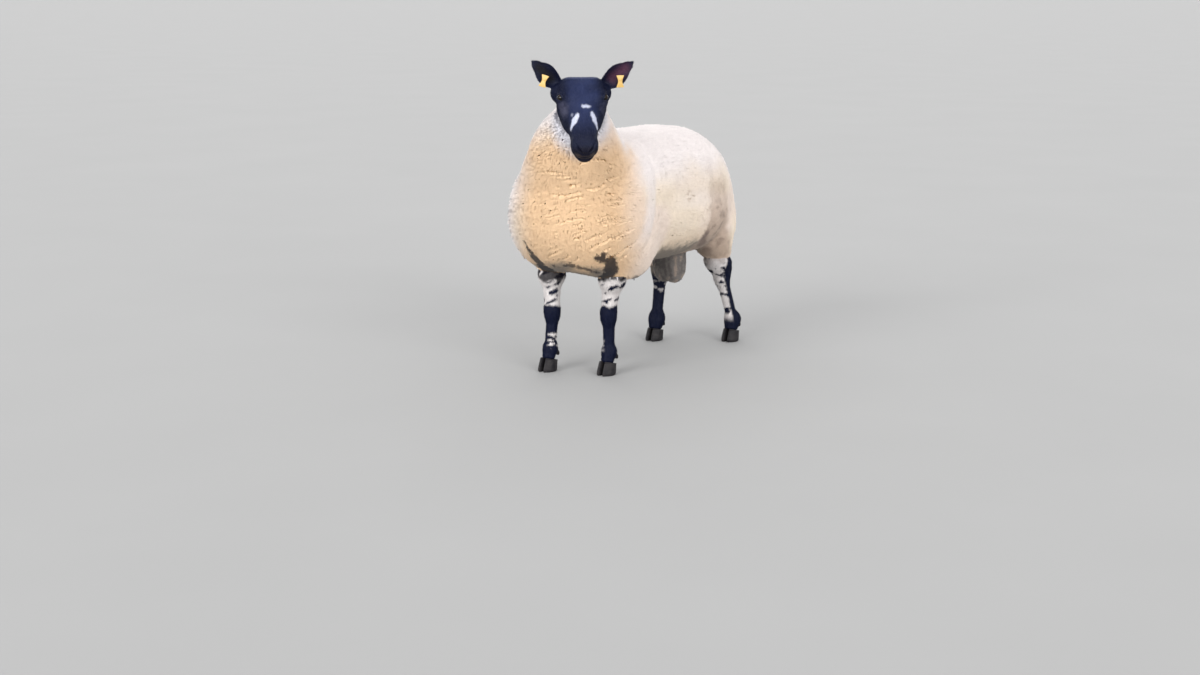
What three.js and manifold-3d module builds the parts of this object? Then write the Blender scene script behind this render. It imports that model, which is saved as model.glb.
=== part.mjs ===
// A polled, black-faced ram of a heavy meat type, standing square with the head turned to its left.
// Lengths are in millimetres, +Z is up, the nose end is toward -Y and the animal's left is +X.
// Every outline runs out to the tips of the coat.
import * as THREE from "three";
import { mergeVertices } from "three/addons/utils/BufferGeometryUtils.js";
import Module from "manifold-3d";

const wasm = await Module();
wasm.setup();

// ---------------------------------------------------------------- driving sizes
const gap = 0.4; // clearance left between neighbouring solids
const backHeight = 731; // floor to the top of the back
const bellyHeight = 326; // floor to the underline
const barrelHalfWidth = 207;
const chestFront = -182; // front of the chest
const rumpBack = 711; // rearmost point of the rump
const foreCut = 352; // height of the cut across the forearm
const hindCut = 398; // height of the cut across the thigh

const headYaw = 41; // degrees the face is turned to the left
const faceSlope = 57; // degrees the face line drops below level
const poll = [134, -138, 930]; // middle of the crown, between the ears
const headLength = 263; // crown to chin
const napeDepth = 56; // crown back to the cut inside the collar
const eyeRadius = 14;
const eyeAt = { side: 58.5, down: 80, out: -8 }; // centre of the eyeball in head measure

const earLength = 114;
const earWidth = 62;
const earThickness = 5;
// how each ear stands: rise above level in degrees, lean to the rear, and turn of the hollow to the side
const earSet = {
  left: { rise: 37, back: 0.12, turn: 0.15 },
  right: { rise: 42, back: 0.42, turn: 0.2 },
};
const tagWidth = 23;
const tagHeight = 35;
const tagThickness = 2;
const tagStem = 3;
const tagStud = 9;
const tagReach = 24; // from the plate back to the stud
// each plate's place: share of the ear's length, drop below its midline, and slant in degrees
const tagSet = {
  left: { at: 0.54, drop: 23, slant: 0 },
  right: { at: 0.44, drop: 19, slant: 16 },
};
const tagFront = 14; // plate in front of the back of the leaf
const mouthAt = { out: -37, tilt: -8, across: 90, depth: 22, gap: 2.4 };
const nostrilAt = { side: 20, down: 238, out: 2, size: [4.5, 6, 9] };
const tailLength = 130;
const purseAt = [-2, 530];
const purseBottom = 209;
const sheathAt = [0, 330];
const neckRoot = [0, -40, 640]; // a point of the cut between neck and trunk
const neckNormal = new THREE.Vector3(0.12, -0.62, 0.775).normalize().toArray();

const soleDepth = 62; // toe to heel of a claw
const clawWidth = 27;
const clawCleft = 3;
const coronetHeight = 40;
const coronetTilt = 14; // degrees the coronet falls toward the heel
const legSizes = {
  // radii down a leg, from the sleeve of wool to the pastern
  fore: { sleeve: 50, forearm: 29, knee: 27, cannon: 18, fetlock: 20.5, pastern: 19.5 },
  hind: { sleeve: 50, gaskin: 32, hock: 27, cannon: 19, fetlock: 20.5, pastern: 19.5 },
};
// where each foot stands: the middle of the hoof, and the joints above it as offsets from that point
const stance = {
  fore_right: { foot: [-95, 0], elbow: [-9, 20], knee: [5, 7] },
  fore_left: { foot: [84, 63], elbow: [38, -22], knee: [1, -2] },
  hind_right: { foot: [-84, 574], hock: [-6, 34], stifle: [-20, 10] },
  hind_left: { foot: [129, 712], hock: [-17, -38], stifle: [-23, -102] },
};

// ---------------------------------------------------------------- rounded masses of flesh
const dot = (a, b) => a[0] * b[0] + a[1] * b[1] + a[2] * b[2];
const minus = (a, b) => [a[0] - b[0], a[1] - b[1], a[2] - b[2]];
const along = (a, d, t) => [a[0] + d[0] * t, a[1] + d[1] * t, a[2] + d[2] * t];
const length = (a) => Math.hypot(a[0], a[1], a[2]);
const rad = THREE.MathUtils.degToRad;

// Three unit axes from turns about X, Y and Z in degrees, or the upright axes when none are given.
function axesOf(turn) {
  const m = new THREE.Matrix4();
  if (turn) m.makeRotationFromEuler(new THREE.Euler(rad(turn[0]), rad(turn[1]), rad(turn[2]), "ZYX"));
  const e = m.elements;
  return [
    [e[0], e[1], e[2]],
    [e[4], e[5], e[6]],
    [e[8], e[9], e[10]],
  ];
}

// An ellipsoid: the value is the distance from its surface, negative inside.
function egg(centre, radii, turn) {
  const axes = Array.isArray(turn && turn[0]) ? turn : axesOf(turn);
  return (p) => {
    const q = minus(p, centre);
    const local = axes.map((axis) => dot(q, axis));
    const near = Math.hypot(...local.map((v, i) => v / radii[i]));
    const slope = Math.hypot(...local.map((v, i) => v / (radii[i] * radii[i])));
    return slope < 1e-9 ? -Math.min(...radii) : (near * (near - 1)) / slope;
  };
}

// A box with broad round edges.
function block(centre, half, round, turn) {
  const axes = Array.isArray(turn && turn[0]) ? turn : axesOf(turn);
  return (p) => {
    const q = minus(p, centre);
    const over = axes.map((axis, i) => Math.abs(dot(q, axis)) - half[i] + round);
    const outside = Math.hypot(...over.map((v) => Math.max(v, 0)));
    return outside + Math.min(Math.max(...over), 0) - round;
  };
}

// A limb that tapers from one radius to another, flattened across `side` by the factor `flat`.
function limb(from, to, fromRadius, toRadius, side, flat = 1) {
  const axis = minus(to, from);
  const span = dot(axis, axis);
  return (p) => {
    const t = Math.min(1, Math.max(0, dot(minus(p, from), axis) / span));
    let q = minus(p, along(from, axis, t));
    if (side) q = along(q, side, dot(q, side) * (1 / flat - 1));
    return length(q) - (fromRadius + (toRadius - fromRadius) * t);
  };
}

// Joins masses with a fillet about `soft` wide.
function blend(soft, ...masses) {
  return (p) => {
    let d = masses[0](p);
    for (let i = 1; i < masses.length; i += 1) {
      const e = masses[i](p);
      const h = Math.max(soft - Math.abs(d - e), 0) / soft;
      d = Math.min(d, e) - h * h * soft * 0.25;
    }
    return d;
  };
}

// ---------------------------------------------------------------- solids from masses
function solidOf(geometry) {
  geometry.deleteAttribute("normal");
  geometry.deleteAttribute("uv");
  const merged = mergeVertices(geometry, 1e-4);
  return new wasm.Manifold(
    new wasm.Mesh({
      numProp: 3,
      vertProperties: new Float32Array(merged.attributes.position.array),
      triVerts: new Uint32Array(merged.index.array),
    }),
  );
}

// Closes a stack of rings with a point at each end. Rings run counter-clockwise seen from the last ring.
function stack(first, rings, last) {
  const n = rings[0].length;
  const points = [first, ...rings.flat(), last];
  const faces = [];
  const at = (r, i) => 1 + r * n + ((i + n) % n);
  for (let i = 0; i < n; i += 1) {
    faces.push(0, at(0, i + 1), at(0, i));
    for (let r = 0; r + 1 < rings.length; r += 1) {
      faces.push(at(r, i), at(r, i + 1), at(r + 1, i + 1));
      faces.push(at(r, i), at(r + 1, i + 1), at(r + 1, i));
    }
    faces.push(points.length - 1, at(rings.length - 1, i), at(rings.length - 1, i + 1));
  }
  const geometry = new THREE.BufferGeometry();
  geometry.setAttribute("position", new THREE.Float32BufferAttribute(points.flat(), 3));
  geometry.setIndex(faces);
  return solidOf(geometry);
}

// Walks out from `from` along `way` to where the mass ends.
function surfacePoint(mass, from, way, level) {
  const stride = 4;
  let near = 0;
  let far = stride;
  while (mass(along(from, way, far)) < level && far < 900) {
    near = far;
    far += stride;
  }
  for (let i = 0; i < 14; i += 1) {
    const mid = (near + far) / 2;
    if (mass(along(from, way, mid)) < level) near = mid;
    else far = mid;
  }
  return along(from, way, (near + far) / 2);
}

// Even steps from one share of a spine to just short of another.
const spaced = (from, to, count) => Array.from({ length: count }, (_, i) => from + ((to - from) * i) / count);

// Skins a mass with rings cast outward from a spine inside it, with a fan of rings round each end.
function cast(mass, spine, { rings, sectors, fan = [2, 2], top = [0, 0, 1], level = 0 }) {
  const curve = new THREE.CatmullRomCurve3(spine.map((p) => new THREE.Vector3(...p)));
  const topward = new THREE.Vector3(...top);
  const ringAt = (u, lean) => {
    const centre = curve.getPointAt(u);
    const axis = curve.getTangentAt(u);
    const side = new THREE.Vector3().crossVectors(topward, axis).normalize();
    const up = new THREE.Vector3().crossVectors(axis, side);
    const ring = [];
    for (let i = 0; i < sectors; i += 1) {
      const turn = (2 * Math.PI * (i + 0.5)) / sectors;
      const way = new THREE.Vector3()
        .addScaledVector(side, Math.cos(turn) * Math.cos(lean))
        .addScaledVector(up, Math.sin(turn) * Math.cos(lean))
        .addScaledVector(axis, Math.sin(lean));
      ring.push(surfacePoint(mass, centre.toArray(), way.toArray(), level));
    }
    return ring;
  };
  const places = Array.isArray(rings) ? rings : spaced(0, (rings + 1) / rings, rings + 1);
  const leans = (count) => spaced(1 / (count + 1), 1, count).map((v) => (v * Math.PI) / 2);
  const rows = [
    ...leans(fan[0]).map((lean) => ringAt(0, lean - Math.PI / 2)),
    ...places.map((u) => ringAt(Math.min(u, 1), 0)),
    ...leans(fan[1]).map((lean) => ringAt(1, lean)),
  ];
  const start = curve.getPointAt(0).toArray();
  const end = curve.getPointAt(1).toArray();
  const back = curve.getTangentAt(0).negate().toArray();
  const ahead = curve.getTangentAt(1).toArray();
  return stack(surfacePoint(mass, start, back, level), rows, surfacePoint(mass, end, ahead, level));
}

// ---------------------------------------------------------------- trunk and neck
const middleHeight = (backHeight + bellyHeight) / 2;
const barrelHalfDepth = (backHeight - bellyHeight) / 2;
const mirrored = (make) => [make(1), make(-1)];

// The masses of the trunk run into those of the neck without a break.
const bodyMass = blend(
  60,
  block([0, 290, middleHeight + 1], [barrelHalfWidth, 362, barrelHalfDepth], 178),
  egg([0, chestFront + 178, 486], [184, 178, 166]),
  ...mirrored((s) => egg([s * 98, 40, 474], [107, 150, 162])),
  ...mirrored((s) => egg([s * 138, 112, 380], [54, 86, 82])),
  block([0, rumpBack - 152, 500], [179, 150, 168], 142),
  egg([0, 360, bellyHeight + 134], [206, 290, 136]),
  limb([6, -2, 560], [44, -50, 680], 160, 131),
  limb([52, -43, 692], [100, -82, 842], 117, 61),
  egg([4, -32, 640], [116, 116, 70]),
);
const bodySpine = [
  [0, 590, 510],
  [0, 400, 524],
  [0, 220, 532],
  [8, 96, 566],
  [28, 20, 638],
  [62, -40, 738],
  [97, -80, 830],
];
// Rings stand closer together where the chest swells under the bend of the neck.
const bodyShape = {
  rings: [...spaced(0, 0.4, 6), ...spaced(0.4, 0.84, 15), ...spaced(0.84, 1.05, 3)],
  sectors: 30,
  fan: [4, 1],
};
const bodyCore = cast(bodyMass, bodySpine, bodyShape);
const bodyClear = cast(bodyMass, bodySpine, { ...bodyShape, level: gap + 0.1 });

// ---------------------------------------------------------------- head frame
const faceYaw = rad(headYaw);
const faceDrop = rad(faceSlope);
const facing = [Math.sin(faceYaw), -Math.cos(faceYaw), 0];
const headSide = [Math.cos(faceYaw), Math.sin(faceYaw), 0]; // toward the animal's left
const headDown = [facing[0] * Math.cos(faceDrop), facing[1] * Math.cos(faceDrop), -Math.sin(faceDrop)];
const headOut = [facing[0] * Math.sin(faceDrop), facing[1] * Math.sin(faceDrop), Math.cos(faceDrop)];
const headAxes = [headSide, headDown, headOut];
// A point given as sideways, down the face from the crown, and out of the face.
const inHead = (side, down, out) =>
  along(along(along(poll, headSide, side), headDown, down), headOut, out);
// Places a shape made with X sideways, Y out of the face and Z down the face.
function headMatrix(side, down, out, turn) {
  const basis = new THREE.Matrix4().makeBasis(
    ...[headSide, headOut, headDown].map((v) => new THREE.Vector3(...v)),
  );
  const spin = new THREE.Matrix4().makeRotationFromEuler(new THREE.Euler(...turn.map(rad)));
  return basis.multiply(spin).setPosition(...inHead(side, down, out));
}

// ---------------------------------------------------------------- head
const headMass = blend(
  16,
  blend(
    26,
    block(inHead(0, 56, -50), [70, 56, 48], 34, headAxes),
    limb(inHead(0, 86, -46), inHead(0, 208, -30), 55, 36),
    limb(inHead(0, 112, -84), inHead(0, 222, -50), 37, 22, headSide, 1.05),
    ...mirrored((s) => egg(inHead(s * 33, 100, -68), [27, 52, 46], headAxes)),
  ),
  ...mirrored((s) => egg(inHead(s * 55, 75, -15), [20, 27, 20], headAxes)),
  ...mirrored((s) => egg(inHead(s * 70, 36, -56), [19, 26, 24], headAxes)),
  limb(inHead(0, 56, -22), inHead(0, 206, -9), 30, 21, headSide, 1.25),
  block(inHead(0, headLength - 40, -27), [36.5, 25, 24], 21, headAxes),
  ...mirrored((s) => egg(inHead(s * 17, headLength - 31, -10), [17, 18, 13], headAxes)),
  egg(inHead(0, headLength - 27, -23), [30, 21, 20], headAxes),
  egg(inHead(0, headLength - 21, -48), [23, 21, 16], headAxes),
);
const headSpine = [
  inHead(0, 44, -52),
  inHead(0, 108, -54),
  inHead(0, 174, -42),
  inHead(0, headLength - 20, -34),
];
const headShape = { rings: 16, sectors: 28, fan: [4, 5], top: headOut };
// The back of the head ends on a flat cut inside the collar of the neck.
const napeNormal = along(along([0, 0, 0], headOut, 0.914), headDown, 0.406);
const napeLevel = dot(napeNormal, poll) - napeDepth;
const headCore = cast(headMass, headSpine, headShape).trimByPlane(napeNormal, napeLevel);
const headWithGap = cast(headMass, headSpine, { ...headShape, level: gap + 0.1 });
const headClear = headWithGap.trimByPlane(napeNormal, napeLevel - gap);

// The mouth is a slit across the front of the muzzle, and each nostril a slanted hollow.
function mouthSlit() {
  const slit = new THREE.BoxGeometry(mouthAt.across, mouthAt.gap, mouthAt.depth * 2);
  return solidOf(slit.applyMatrix4(headMatrix(0, headLength, mouthAt.out, [mouthAt.tilt, 0, 0])));
}
function nostril(side) {
  const hollow = new THREE.SphereGeometry(1, 8, 6).scale(...nostrilAt.size);
  hollow.applyMatrix4(headMatrix(side * nostrilAt.side, nostrilAt.down, nostrilAt.out, [-20, side * 35, 0]));
  return solidOf(hollow);
}

// ---------------------------------------------------------------- eyes
function eyeBall(side, radius) {
  const ball = new THREE.SphereGeometry(radius, 10, 6);
  return solidOf(ball).translate(inHead(side * eyeAt.side, eyeAt.down, eyeAt.out));
}

// ---------------------------------------------------------------- ears
// A leaf rolled into a funnel at its root, which opens into a shallow cup turned forward.
function earFrame(side) {
  const { rise, back, turn } = side > 0 ? earSet.left : earSet.right;
  const outward = new THREE.Vector3(...headSide).multiplyScalar(side * Math.cos(rad(rise)));
  const upward = new THREE.Vector3(0, 0, Math.sin(rad(rise)));
  const axis = outward.add(upward).addScaledVector(new THREE.Vector3(...facing), -back).normalize();
  const hollow = new THREE.Vector3(...facing).addScaledVector(new THREE.Vector3(...headSide), side * turn);
  hollow.addScaledVector(axis, -hollow.dot(axis)).normalize();
  const across = new THREE.Vector3().crossVectors(hollow, axis).multiplyScalar(side); // toward the lower edge
  return { base: new THREE.Vector3(...inHead(side * 61, 25, -38)), axis, hollow, across };
}

function ear(side) {
  const { base, axis, hollow, across } = earFrame(side);
  const steps = 9;
  const half = 4; // faces over half the width of the leaf
  const ringAt = (t) => {
    const swell = 0.72 + 0.4 * Math.sin(Math.PI * Math.min(1, t * 1.25));
    const leaf = (earWidth / 2) * swell * Math.sqrt(1 - t ** 4);
    const radius = 13 + 34 * Math.min(1, t * 1.6);
    const wall = earThickness * (1 - 0.5 * t);
    const outer = [];
    const inner = [];
    for (let i = -half; i <= half; i += 1) {
      const s = i / half;
      const angle = (leaf / radius) * s;
      const thick = wall * (1 - 0.55 * s * s);
      const place = (reach) =>
        base
          .clone()
          .addScaledVector(axis, t * earLength * (1 - 0.05 * s * s))
          .addScaledVector(across, reach * Math.sin(angle))
          .addScaledVector(hollow, radius - reach * Math.cos(angle) - 12 * (1 - t) ** 2)
          .toArray();
      outer.push(place(radius + thick / 2));
      inner.unshift(place(radius - thick / 2));
    }
    return side > 0 ? [...outer, ...inner] : [...outer, ...inner].reverse();
  };
  const rows = [];
  for (let r = 0; r < steps; r += 1) rows.push(ringAt(Math.sin(((r / steps) * Math.PI) / 2) * 0.99));
  const root = base.clone().addScaledVector(hollow, -6).addScaledVector(axis, -4);
  const tip = base.clone().addScaledVector(axis, earLength);
  return stack(root.toArray(), rows, tip.toArray());
}

// ---------------------------------------------------------------- ear tags
// A waisted plate in front of the leaf, with a stem through it to a round stud behind.
function earTag(side, grow) {
  const { base, axis, hollow } = earFrame(side);
  const { at: share, drop, slant } = side > 0 ? tagSet.left : tagSet.right;
  const plate = new THREE.Shape();
  const wide = tagWidth / 2 + grow;
  const waist = tagWidth * 0.27 + grow;
  const tall = tagHeight / 2 + grow;
  plate.moveTo(-wide, tall);
  plate.bezierCurveTo(-wide, tall * 0.62, -waist, tall * 0.6, -waist, 0);
  plate.bezierCurveTo(-waist, -tall * 0.5, -wide, -tall * 0.55, -wide, -tall);
  plate.lineTo(wide, -tall);
  plate.bezierCurveTo(wide, -tall * 0.55, waist, -tall * 0.5, waist, 0);
  plate.bezierCurveTo(waist, tall * 0.6, wide, tall * 0.62, wide, tall);
  const sheet = { depth: tagThickness + 2 * grow, bevelEnabled: false, curveSegments: 3 };
  const panel = new THREE.ExtrudeGeometry(plate, sheet);
  panel.translate(0, 0, -grow);
  const stem = new THREE.CylinderGeometry(tagStem + grow, tagStem + grow, tagReach + tagThickness, 8);
  stem.rotateX(Math.PI / 2).translate(0, tagHeight * 0.16, -(tagReach - tagThickness) / 2);
  const stud = new THREE.CylinderGeometry(tagStud + grow, tagStud + grow, tagThickness + 2 * grow, 12);
  stud.rotateX(Math.PI / 2).translate(0, tagHeight * 0.16, -tagReach);
  const hang = new THREE.Vector3(0, 0, 1).addScaledVector(hollow, -hollow.z).normalize();
  hang.applyAxisAngle(hollow, rad(slant * side));
  const breadth = new THREE.Vector3().crossVectors(hang, hollow);
  const at = base
    .clone()
    .addScaledVector(axis, earLength * share)
    .addScaledVector(hang, -drop)
    .addScaledVector(hollow, tagFront);
  const frame = new THREE.Matrix4().makeBasis(breadth, hang, hollow).setPosition(at);
  const pieces = [panel, stem, stud].map((g) => solidOf(g.applyMatrix4(frame)));
  return pieces[0].add(pieces[1]).add(pieces[2]);
}

// ---------------------------------------------------------------- legs
const crosswise = [1, 0, 0];
function foreLeg(name) {
  const { foot, elbow, knee } = stance[name];
  const size = legSizes.fore;
  const [x, y] = foot;
  const pastern = [x, y - 6, 34];
  const fetlock = [x, y + 5, 70];
  const kneeAt = [x + knee[0], y + knee[1] + 3, 184];
  const top = [x + elbow[0], y + elbow[1] + 8, 400];
  const share = (t) => along(kneeAt, minus(top, kneeAt), t);
  const mass = blend(
    14,
    limb(share(1), share(0.54), size.sleeve + 14, size.sleeve - 6),
    limb(share(0.54), share(0.08), size.forearm + 3, size.knee - 4),
    egg(kneeAt, [size.knee - 1, size.knee, size.knee + 8]),
    limb(along(kneeAt, [0, 2, -16], 1), fetlock, size.cannon + 2, size.cannon, crosswise, 0.94),
    egg(along(fetlock, [0, 4, 0], 1), [size.fetlock, size.fetlock, size.fetlock]),
    limb(fetlock, pastern, size.pastern - 1, size.pastern, crosswise, 1.1),
  );
  const spine = [share(1), share(0.5), kneeAt, along(fetlock, [0, 0, 30], 1), fetlock, pastern];
  return cast(mass, spine, { rings: 17, sectors: 12, top: [0, 1, 0] });
}

function hindLeg(name, level = 0) {
  const { foot, hock, stifle } = stance[name];
  const size = legSizes.hind;
  const [x, y] = foot;
  const pastern = [x, y - 6, 34];
  const fetlock = [x, y + 5, 72];
  const hockAt = [x + hock[0], y + hock[1], 232];
  const gaskin = [x + stifle[0], y + stifle[1], 372];
  const thigh = [x + stifle[0] * 1.3, y + stifle[1] + 4, 456];
  const heel = along(hockAt, [0, 10, 10], 1);
  const share = (t) => along(hockAt, minus(gaskin, hockAt), t);
  const mass = blend(
    24,
    egg(thigh, [70, 107, 161], [10, 0, 0]),
    egg(along(thigh, [Math.sign(x) * 6, 26, -56], 1), [60, 72, 104]),
    limb(gaskin, share(0.34), 68, size.sleeve - 6),
    limb(share(0.4), share(0.1), size.sleeve - 8, size.gaskin, crosswise, 0.92),
    limb(heel, along(hockAt, [0, 0, -20], 1), size.hock - 2, size.hock - 4, crosswise, 0.88),
    limb(along(hockAt, [0, 1, -20], 1), fetlock, size.cannon + 3, size.cannon, crosswise, 0.9),
    egg(along(fetlock, [0, 4, 0], 1), [size.fetlock, size.fetlock, size.fetlock]),
    limb(fetlock, pastern, size.pastern - 1, size.pastern, crosswise, 1.1),
  );
  const spine = [thigh, gaskin, share(0.5), hockAt, along(fetlock, [0, 0, 40], 1), fetlock, pastern];
  return cast(mass, spine, { rings: 17, sectors: 12, top: [0, 1, 0], level });
}

// ---------------------------------------------------------------- claws
const coronetNormal = [0, Math.sin(rad(coronetTilt)), Math.cos(rad(coronetTilt))];
const coronetLevel = (foot, lift) =>
  coronetNormal[1] * (foot[1] - 10) + coronetNormal[2] * coronetHeight + lift;

// One toe: a flat sole, an upright inner wall and a front that slopes back to the coronet.
function claw(foot, side) {
  const points = 10;
  const inner = clawCleft / 2;
  const outline = (z, grow, back) => {
    const ring = [];
    for (let i = 0; i < points; i += 1) {
      const a = (2 * Math.PI * (i + 0.5)) / points;
      const narrowing = Math.sin(a) < 0 ? 1 - 0.42 * Math.sin(a) ** 2 : 1 - 0.1 * Math.sin(a) ** 2;
      const bow = Math.cos(a) > 0 ? 0.74 * Math.cos(a) : 0.26 * Math.cos(a);
      ring.push([
        foot[0] + side * (inner + clawWidth * (0.26 + bow * narrowing * grow)),
        foot[1] - 10 + back + (soleDepth / 2) * Math.sin(a) * grow,
        z,
      ]);
    }
    return side > 0 ? ring : ring.reverse();
  };
  const rings = [outline(0, 0.93, 0), outline(3, 1, 0), outline(28, 0.92, 5), outline(60, 0.8, 12)];
  const low = [foot[0] + side * (inner + clawWidth * 0.5), foot[1] - 10, 0];
  const high = [foot[0] + side * (inner + clawWidth * 0.5), foot[1] + 2, 60];
  return stack(low, rings, high).trimByPlane(along([0, 0, 0], coronetNormal, -1), -coronetLevel(foot, 0));
}

// The small horn behind the fetlock.
function dewclaw(foot, side, grow = 0) {
  const high = [foot[0] + side * 11, foot[1] + 24, 59];
  const low = [foot[0] + side * 12, foot[1] + 30, 47];
  const shape = { rings: 1, sectors: 5, fan: [1, 1], top: [0, 1, 0], level: grow };
  return cast(limb(high, low, 8, 5), [high, low], shape);
}

// ---------------------------------------------------------------- tail, purse and sheath
function tail() {
  const high = [0, rumpBack - 57, 601];
  const bend = [0, rumpBack - 18, 557];
  const low = [0, rumpBack - 6, 640 - tailLength];
  const mass = blend(20, limb(high, bend, 38, 36, crosswise, 1.1), limb(bend, low, 36, 30, crosswise, 1.1));
  return cast(mass, [high, bend, low], { rings: 4, sectors: 8, fan: [1, 1], top: [1, 0, 0] });
}
function purse() {
  const neckOf = [purseAt[0] - 4, purseAt[1], 340];
  const low = [purseAt[0], purseAt[1], purseBottom + 52];
  const lobes = mirrored((s) => egg(along(low, [s * 22, 0, 8], 1), [33, 44, 60]));
  const mass = blend(20, limb(neckOf, low, 64, 44), ...lobes);
  return cast(mass, [neckOf, low], { rings: 3, sectors: 12, top: [0, 1, 0] });
}
function sheath() {
  const high = [sheathAt[0], sheathAt[1] + 36, 342];
  const low = [sheathAt[0], sheathAt[1], 306];
  return cast(limb(high, low, 30, 19), [high, low], { rings: 2, sectors: 9, top: [0, 1, 0] });
}

// ---------------------------------------------------------------- assembly
const ram = new THREE.Group();
const paint = {
  fleece: ["#e6d6bf", 0.95],
  blackHair: ["#26262c", 0.7],
  legHair: ["#3a3638", 0.75],
  earSkin: ["#241f26", 0.7],
  eye: ["#120d0a", 0.12],
  horn: ["#3b3733", 0.6],
  tag: ["#e8bf3c", 0.45],
  darkWool: ["#6b5f5a", 0.95],
};
const largest = (solid) => solid.decompose().sort((a, b) => b.volume() - a.volume())[0];
function add(name, solid, coat) {
  const mesh = largest(solid).getMesh();
  const geometry = new THREE.BufferGeometry();
  geometry.setAttribute("position", new THREE.BufferAttribute(Float32Array.from(mesh.vertProperties), 3));
  geometry.setIndex(new THREE.BufferAttribute(Uint32Array.from(mesh.triVerts), 1));
  geometry.computeVertexNormals();
  const [color, roughness] = paint[coat];
  const material = new THREE.MeshStandardMaterial({ color, roughness, metalness: 0 });
  const part = new THREE.Mesh(geometry, material);
  part.name = name;
  ram.add(part);
}

let trunk = bodyCore.trimByPlane(along([0, 0, 0], neckNormal, -1), -dot(neckNormal, neckRoot));
for (const [name, { foot }] of Object.entries(stance)) {
  const fore = name.startsWith("fore");
  const leg = fore ? foreLeg(name) : hindLeg(name);
  const cut = fore ? foreCut : hindCut;
  trunk = trunk.add(leg.trimByPlane([0, 0, 1], cut));
  const lower = leg
    .trimByPlane([0, 0, -1], -(cut - gap))
    .subtract(bodyClear)
    .trimByPlane(coronetNormal, coronetLevel(foot, gap));
  let limbBelow = lower;
  for (const side of [1, -1]) {
    const word = side > 0 ? "left" : "right";
    add(`claw_${name}_${word}`, claw(foot, side), "horn");
    const horn = dewclaw(foot, side);
    add(`dewclaw_${name}_${word}`, horn, "horn");
    limbBelow = limbBelow.subtract(dewclaw(foot, side, gap));
  }
  add(`leg_${name}`, limbBelow, "legHair");
}
add("trunk", trunk, "fleece");
const neckPart = bodyCore.trimByPlane(neckNormal, dot(neckNormal, neckRoot) + gap).subtract(headClear);
add("neck", neckPart, "fleece");
add("tail", tail().subtract(bodyClear), "fleece");
const thighClear = ["hind_left", "hind_right"].map((name) => hindLeg(name, gap + 0.1));
add("scrotum", purse().subtract(bodyClear).subtract(thighClear[0]).subtract(thighClear[1]), "darkWool");
add("sheath", sheath().subtract(bodyClear), "darkWool");

let head = headCore.subtract(mouthSlit());
for (const side of [1, -1]) {
  const word = side > 0 ? "left" : "right";
  add(`eye_${word}`, eyeBall(side, eyeRadius), "eye");
  head = head.subtract(eyeBall(side, eyeRadius + gap)).subtract(nostril(side));
  const leaf = ear(side).subtract(headClear).subtract(bodyClear).subtract(earTag(side, gap));
  add(`ear_${word}`, leaf, "earSkin");
  add(`ear_tag_${word}`, earTag(side, 0), "tag");
}
add("head", head, "blackHair");

// The finished animal stands on the floor with its box centred on the origin.
const middle = new THREE.Box3().setFromObject(ram).getCenter(new THREE.Vector3());
for (const part of ram.children) part.geometry.translate(-middle.x, -middle.y, 0);

export default ram;
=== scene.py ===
import itertools
import math

import bmesh
import bpy
import numpy as np
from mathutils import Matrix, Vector
from mathutils.bvhtree import BVHTree


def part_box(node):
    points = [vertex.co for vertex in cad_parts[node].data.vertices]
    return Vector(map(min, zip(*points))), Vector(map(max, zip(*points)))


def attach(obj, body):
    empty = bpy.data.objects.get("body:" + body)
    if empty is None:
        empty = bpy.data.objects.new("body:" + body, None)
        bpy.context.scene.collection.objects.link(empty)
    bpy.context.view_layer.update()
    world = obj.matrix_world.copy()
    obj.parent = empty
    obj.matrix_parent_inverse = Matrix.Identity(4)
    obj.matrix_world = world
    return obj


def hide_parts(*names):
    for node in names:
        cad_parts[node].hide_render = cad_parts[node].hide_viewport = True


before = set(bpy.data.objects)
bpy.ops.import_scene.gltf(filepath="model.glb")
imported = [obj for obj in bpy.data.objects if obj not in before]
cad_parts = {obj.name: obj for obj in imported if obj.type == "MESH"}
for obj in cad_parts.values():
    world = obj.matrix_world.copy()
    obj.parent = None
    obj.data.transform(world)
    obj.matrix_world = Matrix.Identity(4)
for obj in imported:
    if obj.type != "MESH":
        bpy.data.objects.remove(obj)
bpy.context.view_layer.update()

# Shapes are worked out in millimetres in a standing frame: zero is on the floor, on the body's middle
# line, level with the right fore foot. +Z is up and the breast faces -Y. toRow moves them to the row frame.


def toLinear(code):
    values = [int(code[i : i + 2], 16) / 255 for i in (1, 3, 5)]
    return np.array([v / 12.92 if v <= 0.04045 else ((v + 0.055) / 1.055) ** 2.4 for v in values])


def rgba(code):
    return (*toLinear(code), 1.0)


def unit(v):
    v = np.asarray(v, float)
    return v / np.maximum(np.sqrt((v * v).sum(-1, keepdims=True)), 1e-12)


def size(v):
    return np.sqrt((v * v).sum(-1))


def ease(low, high, x):
    t = np.clip((x - low) / (high - low), 0, 1)
    return t * t * (3 - 2 * t)


def bell(x, width):
    return np.exp(-((x / width) ** 2))


def scramble(cell, seed):
    # a whole number for each lattice cell that looks random
    return cell[:, 0] * 73856093 ^ cell[:, 1] * 19349663 ^ cell[:, 2] * 83492791 ^ seed * 2654435761


def lumps(p, spacing, seed):
    # smooth random values from -1 to 1, with lumps about `spacing` mm apart (one number, or one per axis)
    q = p / np.asarray(spacing, float) + np.array([0.37, 0.71, 0.13]) * seed
    cell = np.floor(q).astype(np.int64)
    t = q - cell
    t = t * t * (3 - 2 * t)
    total = np.zeros(len(p))
    for corner in range(8):
        step = np.array([corner & 1, corner >> 1 & 1, corner >> 2])
        h = scramble(cell + step, seed)
        h = (h ^ (h >> 13)) * 1274126177
        h = (h ^ (h >> 16)) & 0xFFFFFF
        total += np.prod(np.where(step, t, 1 - t), axis=1) * (h / 0x7FFFFF - 1)
    return total


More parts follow.
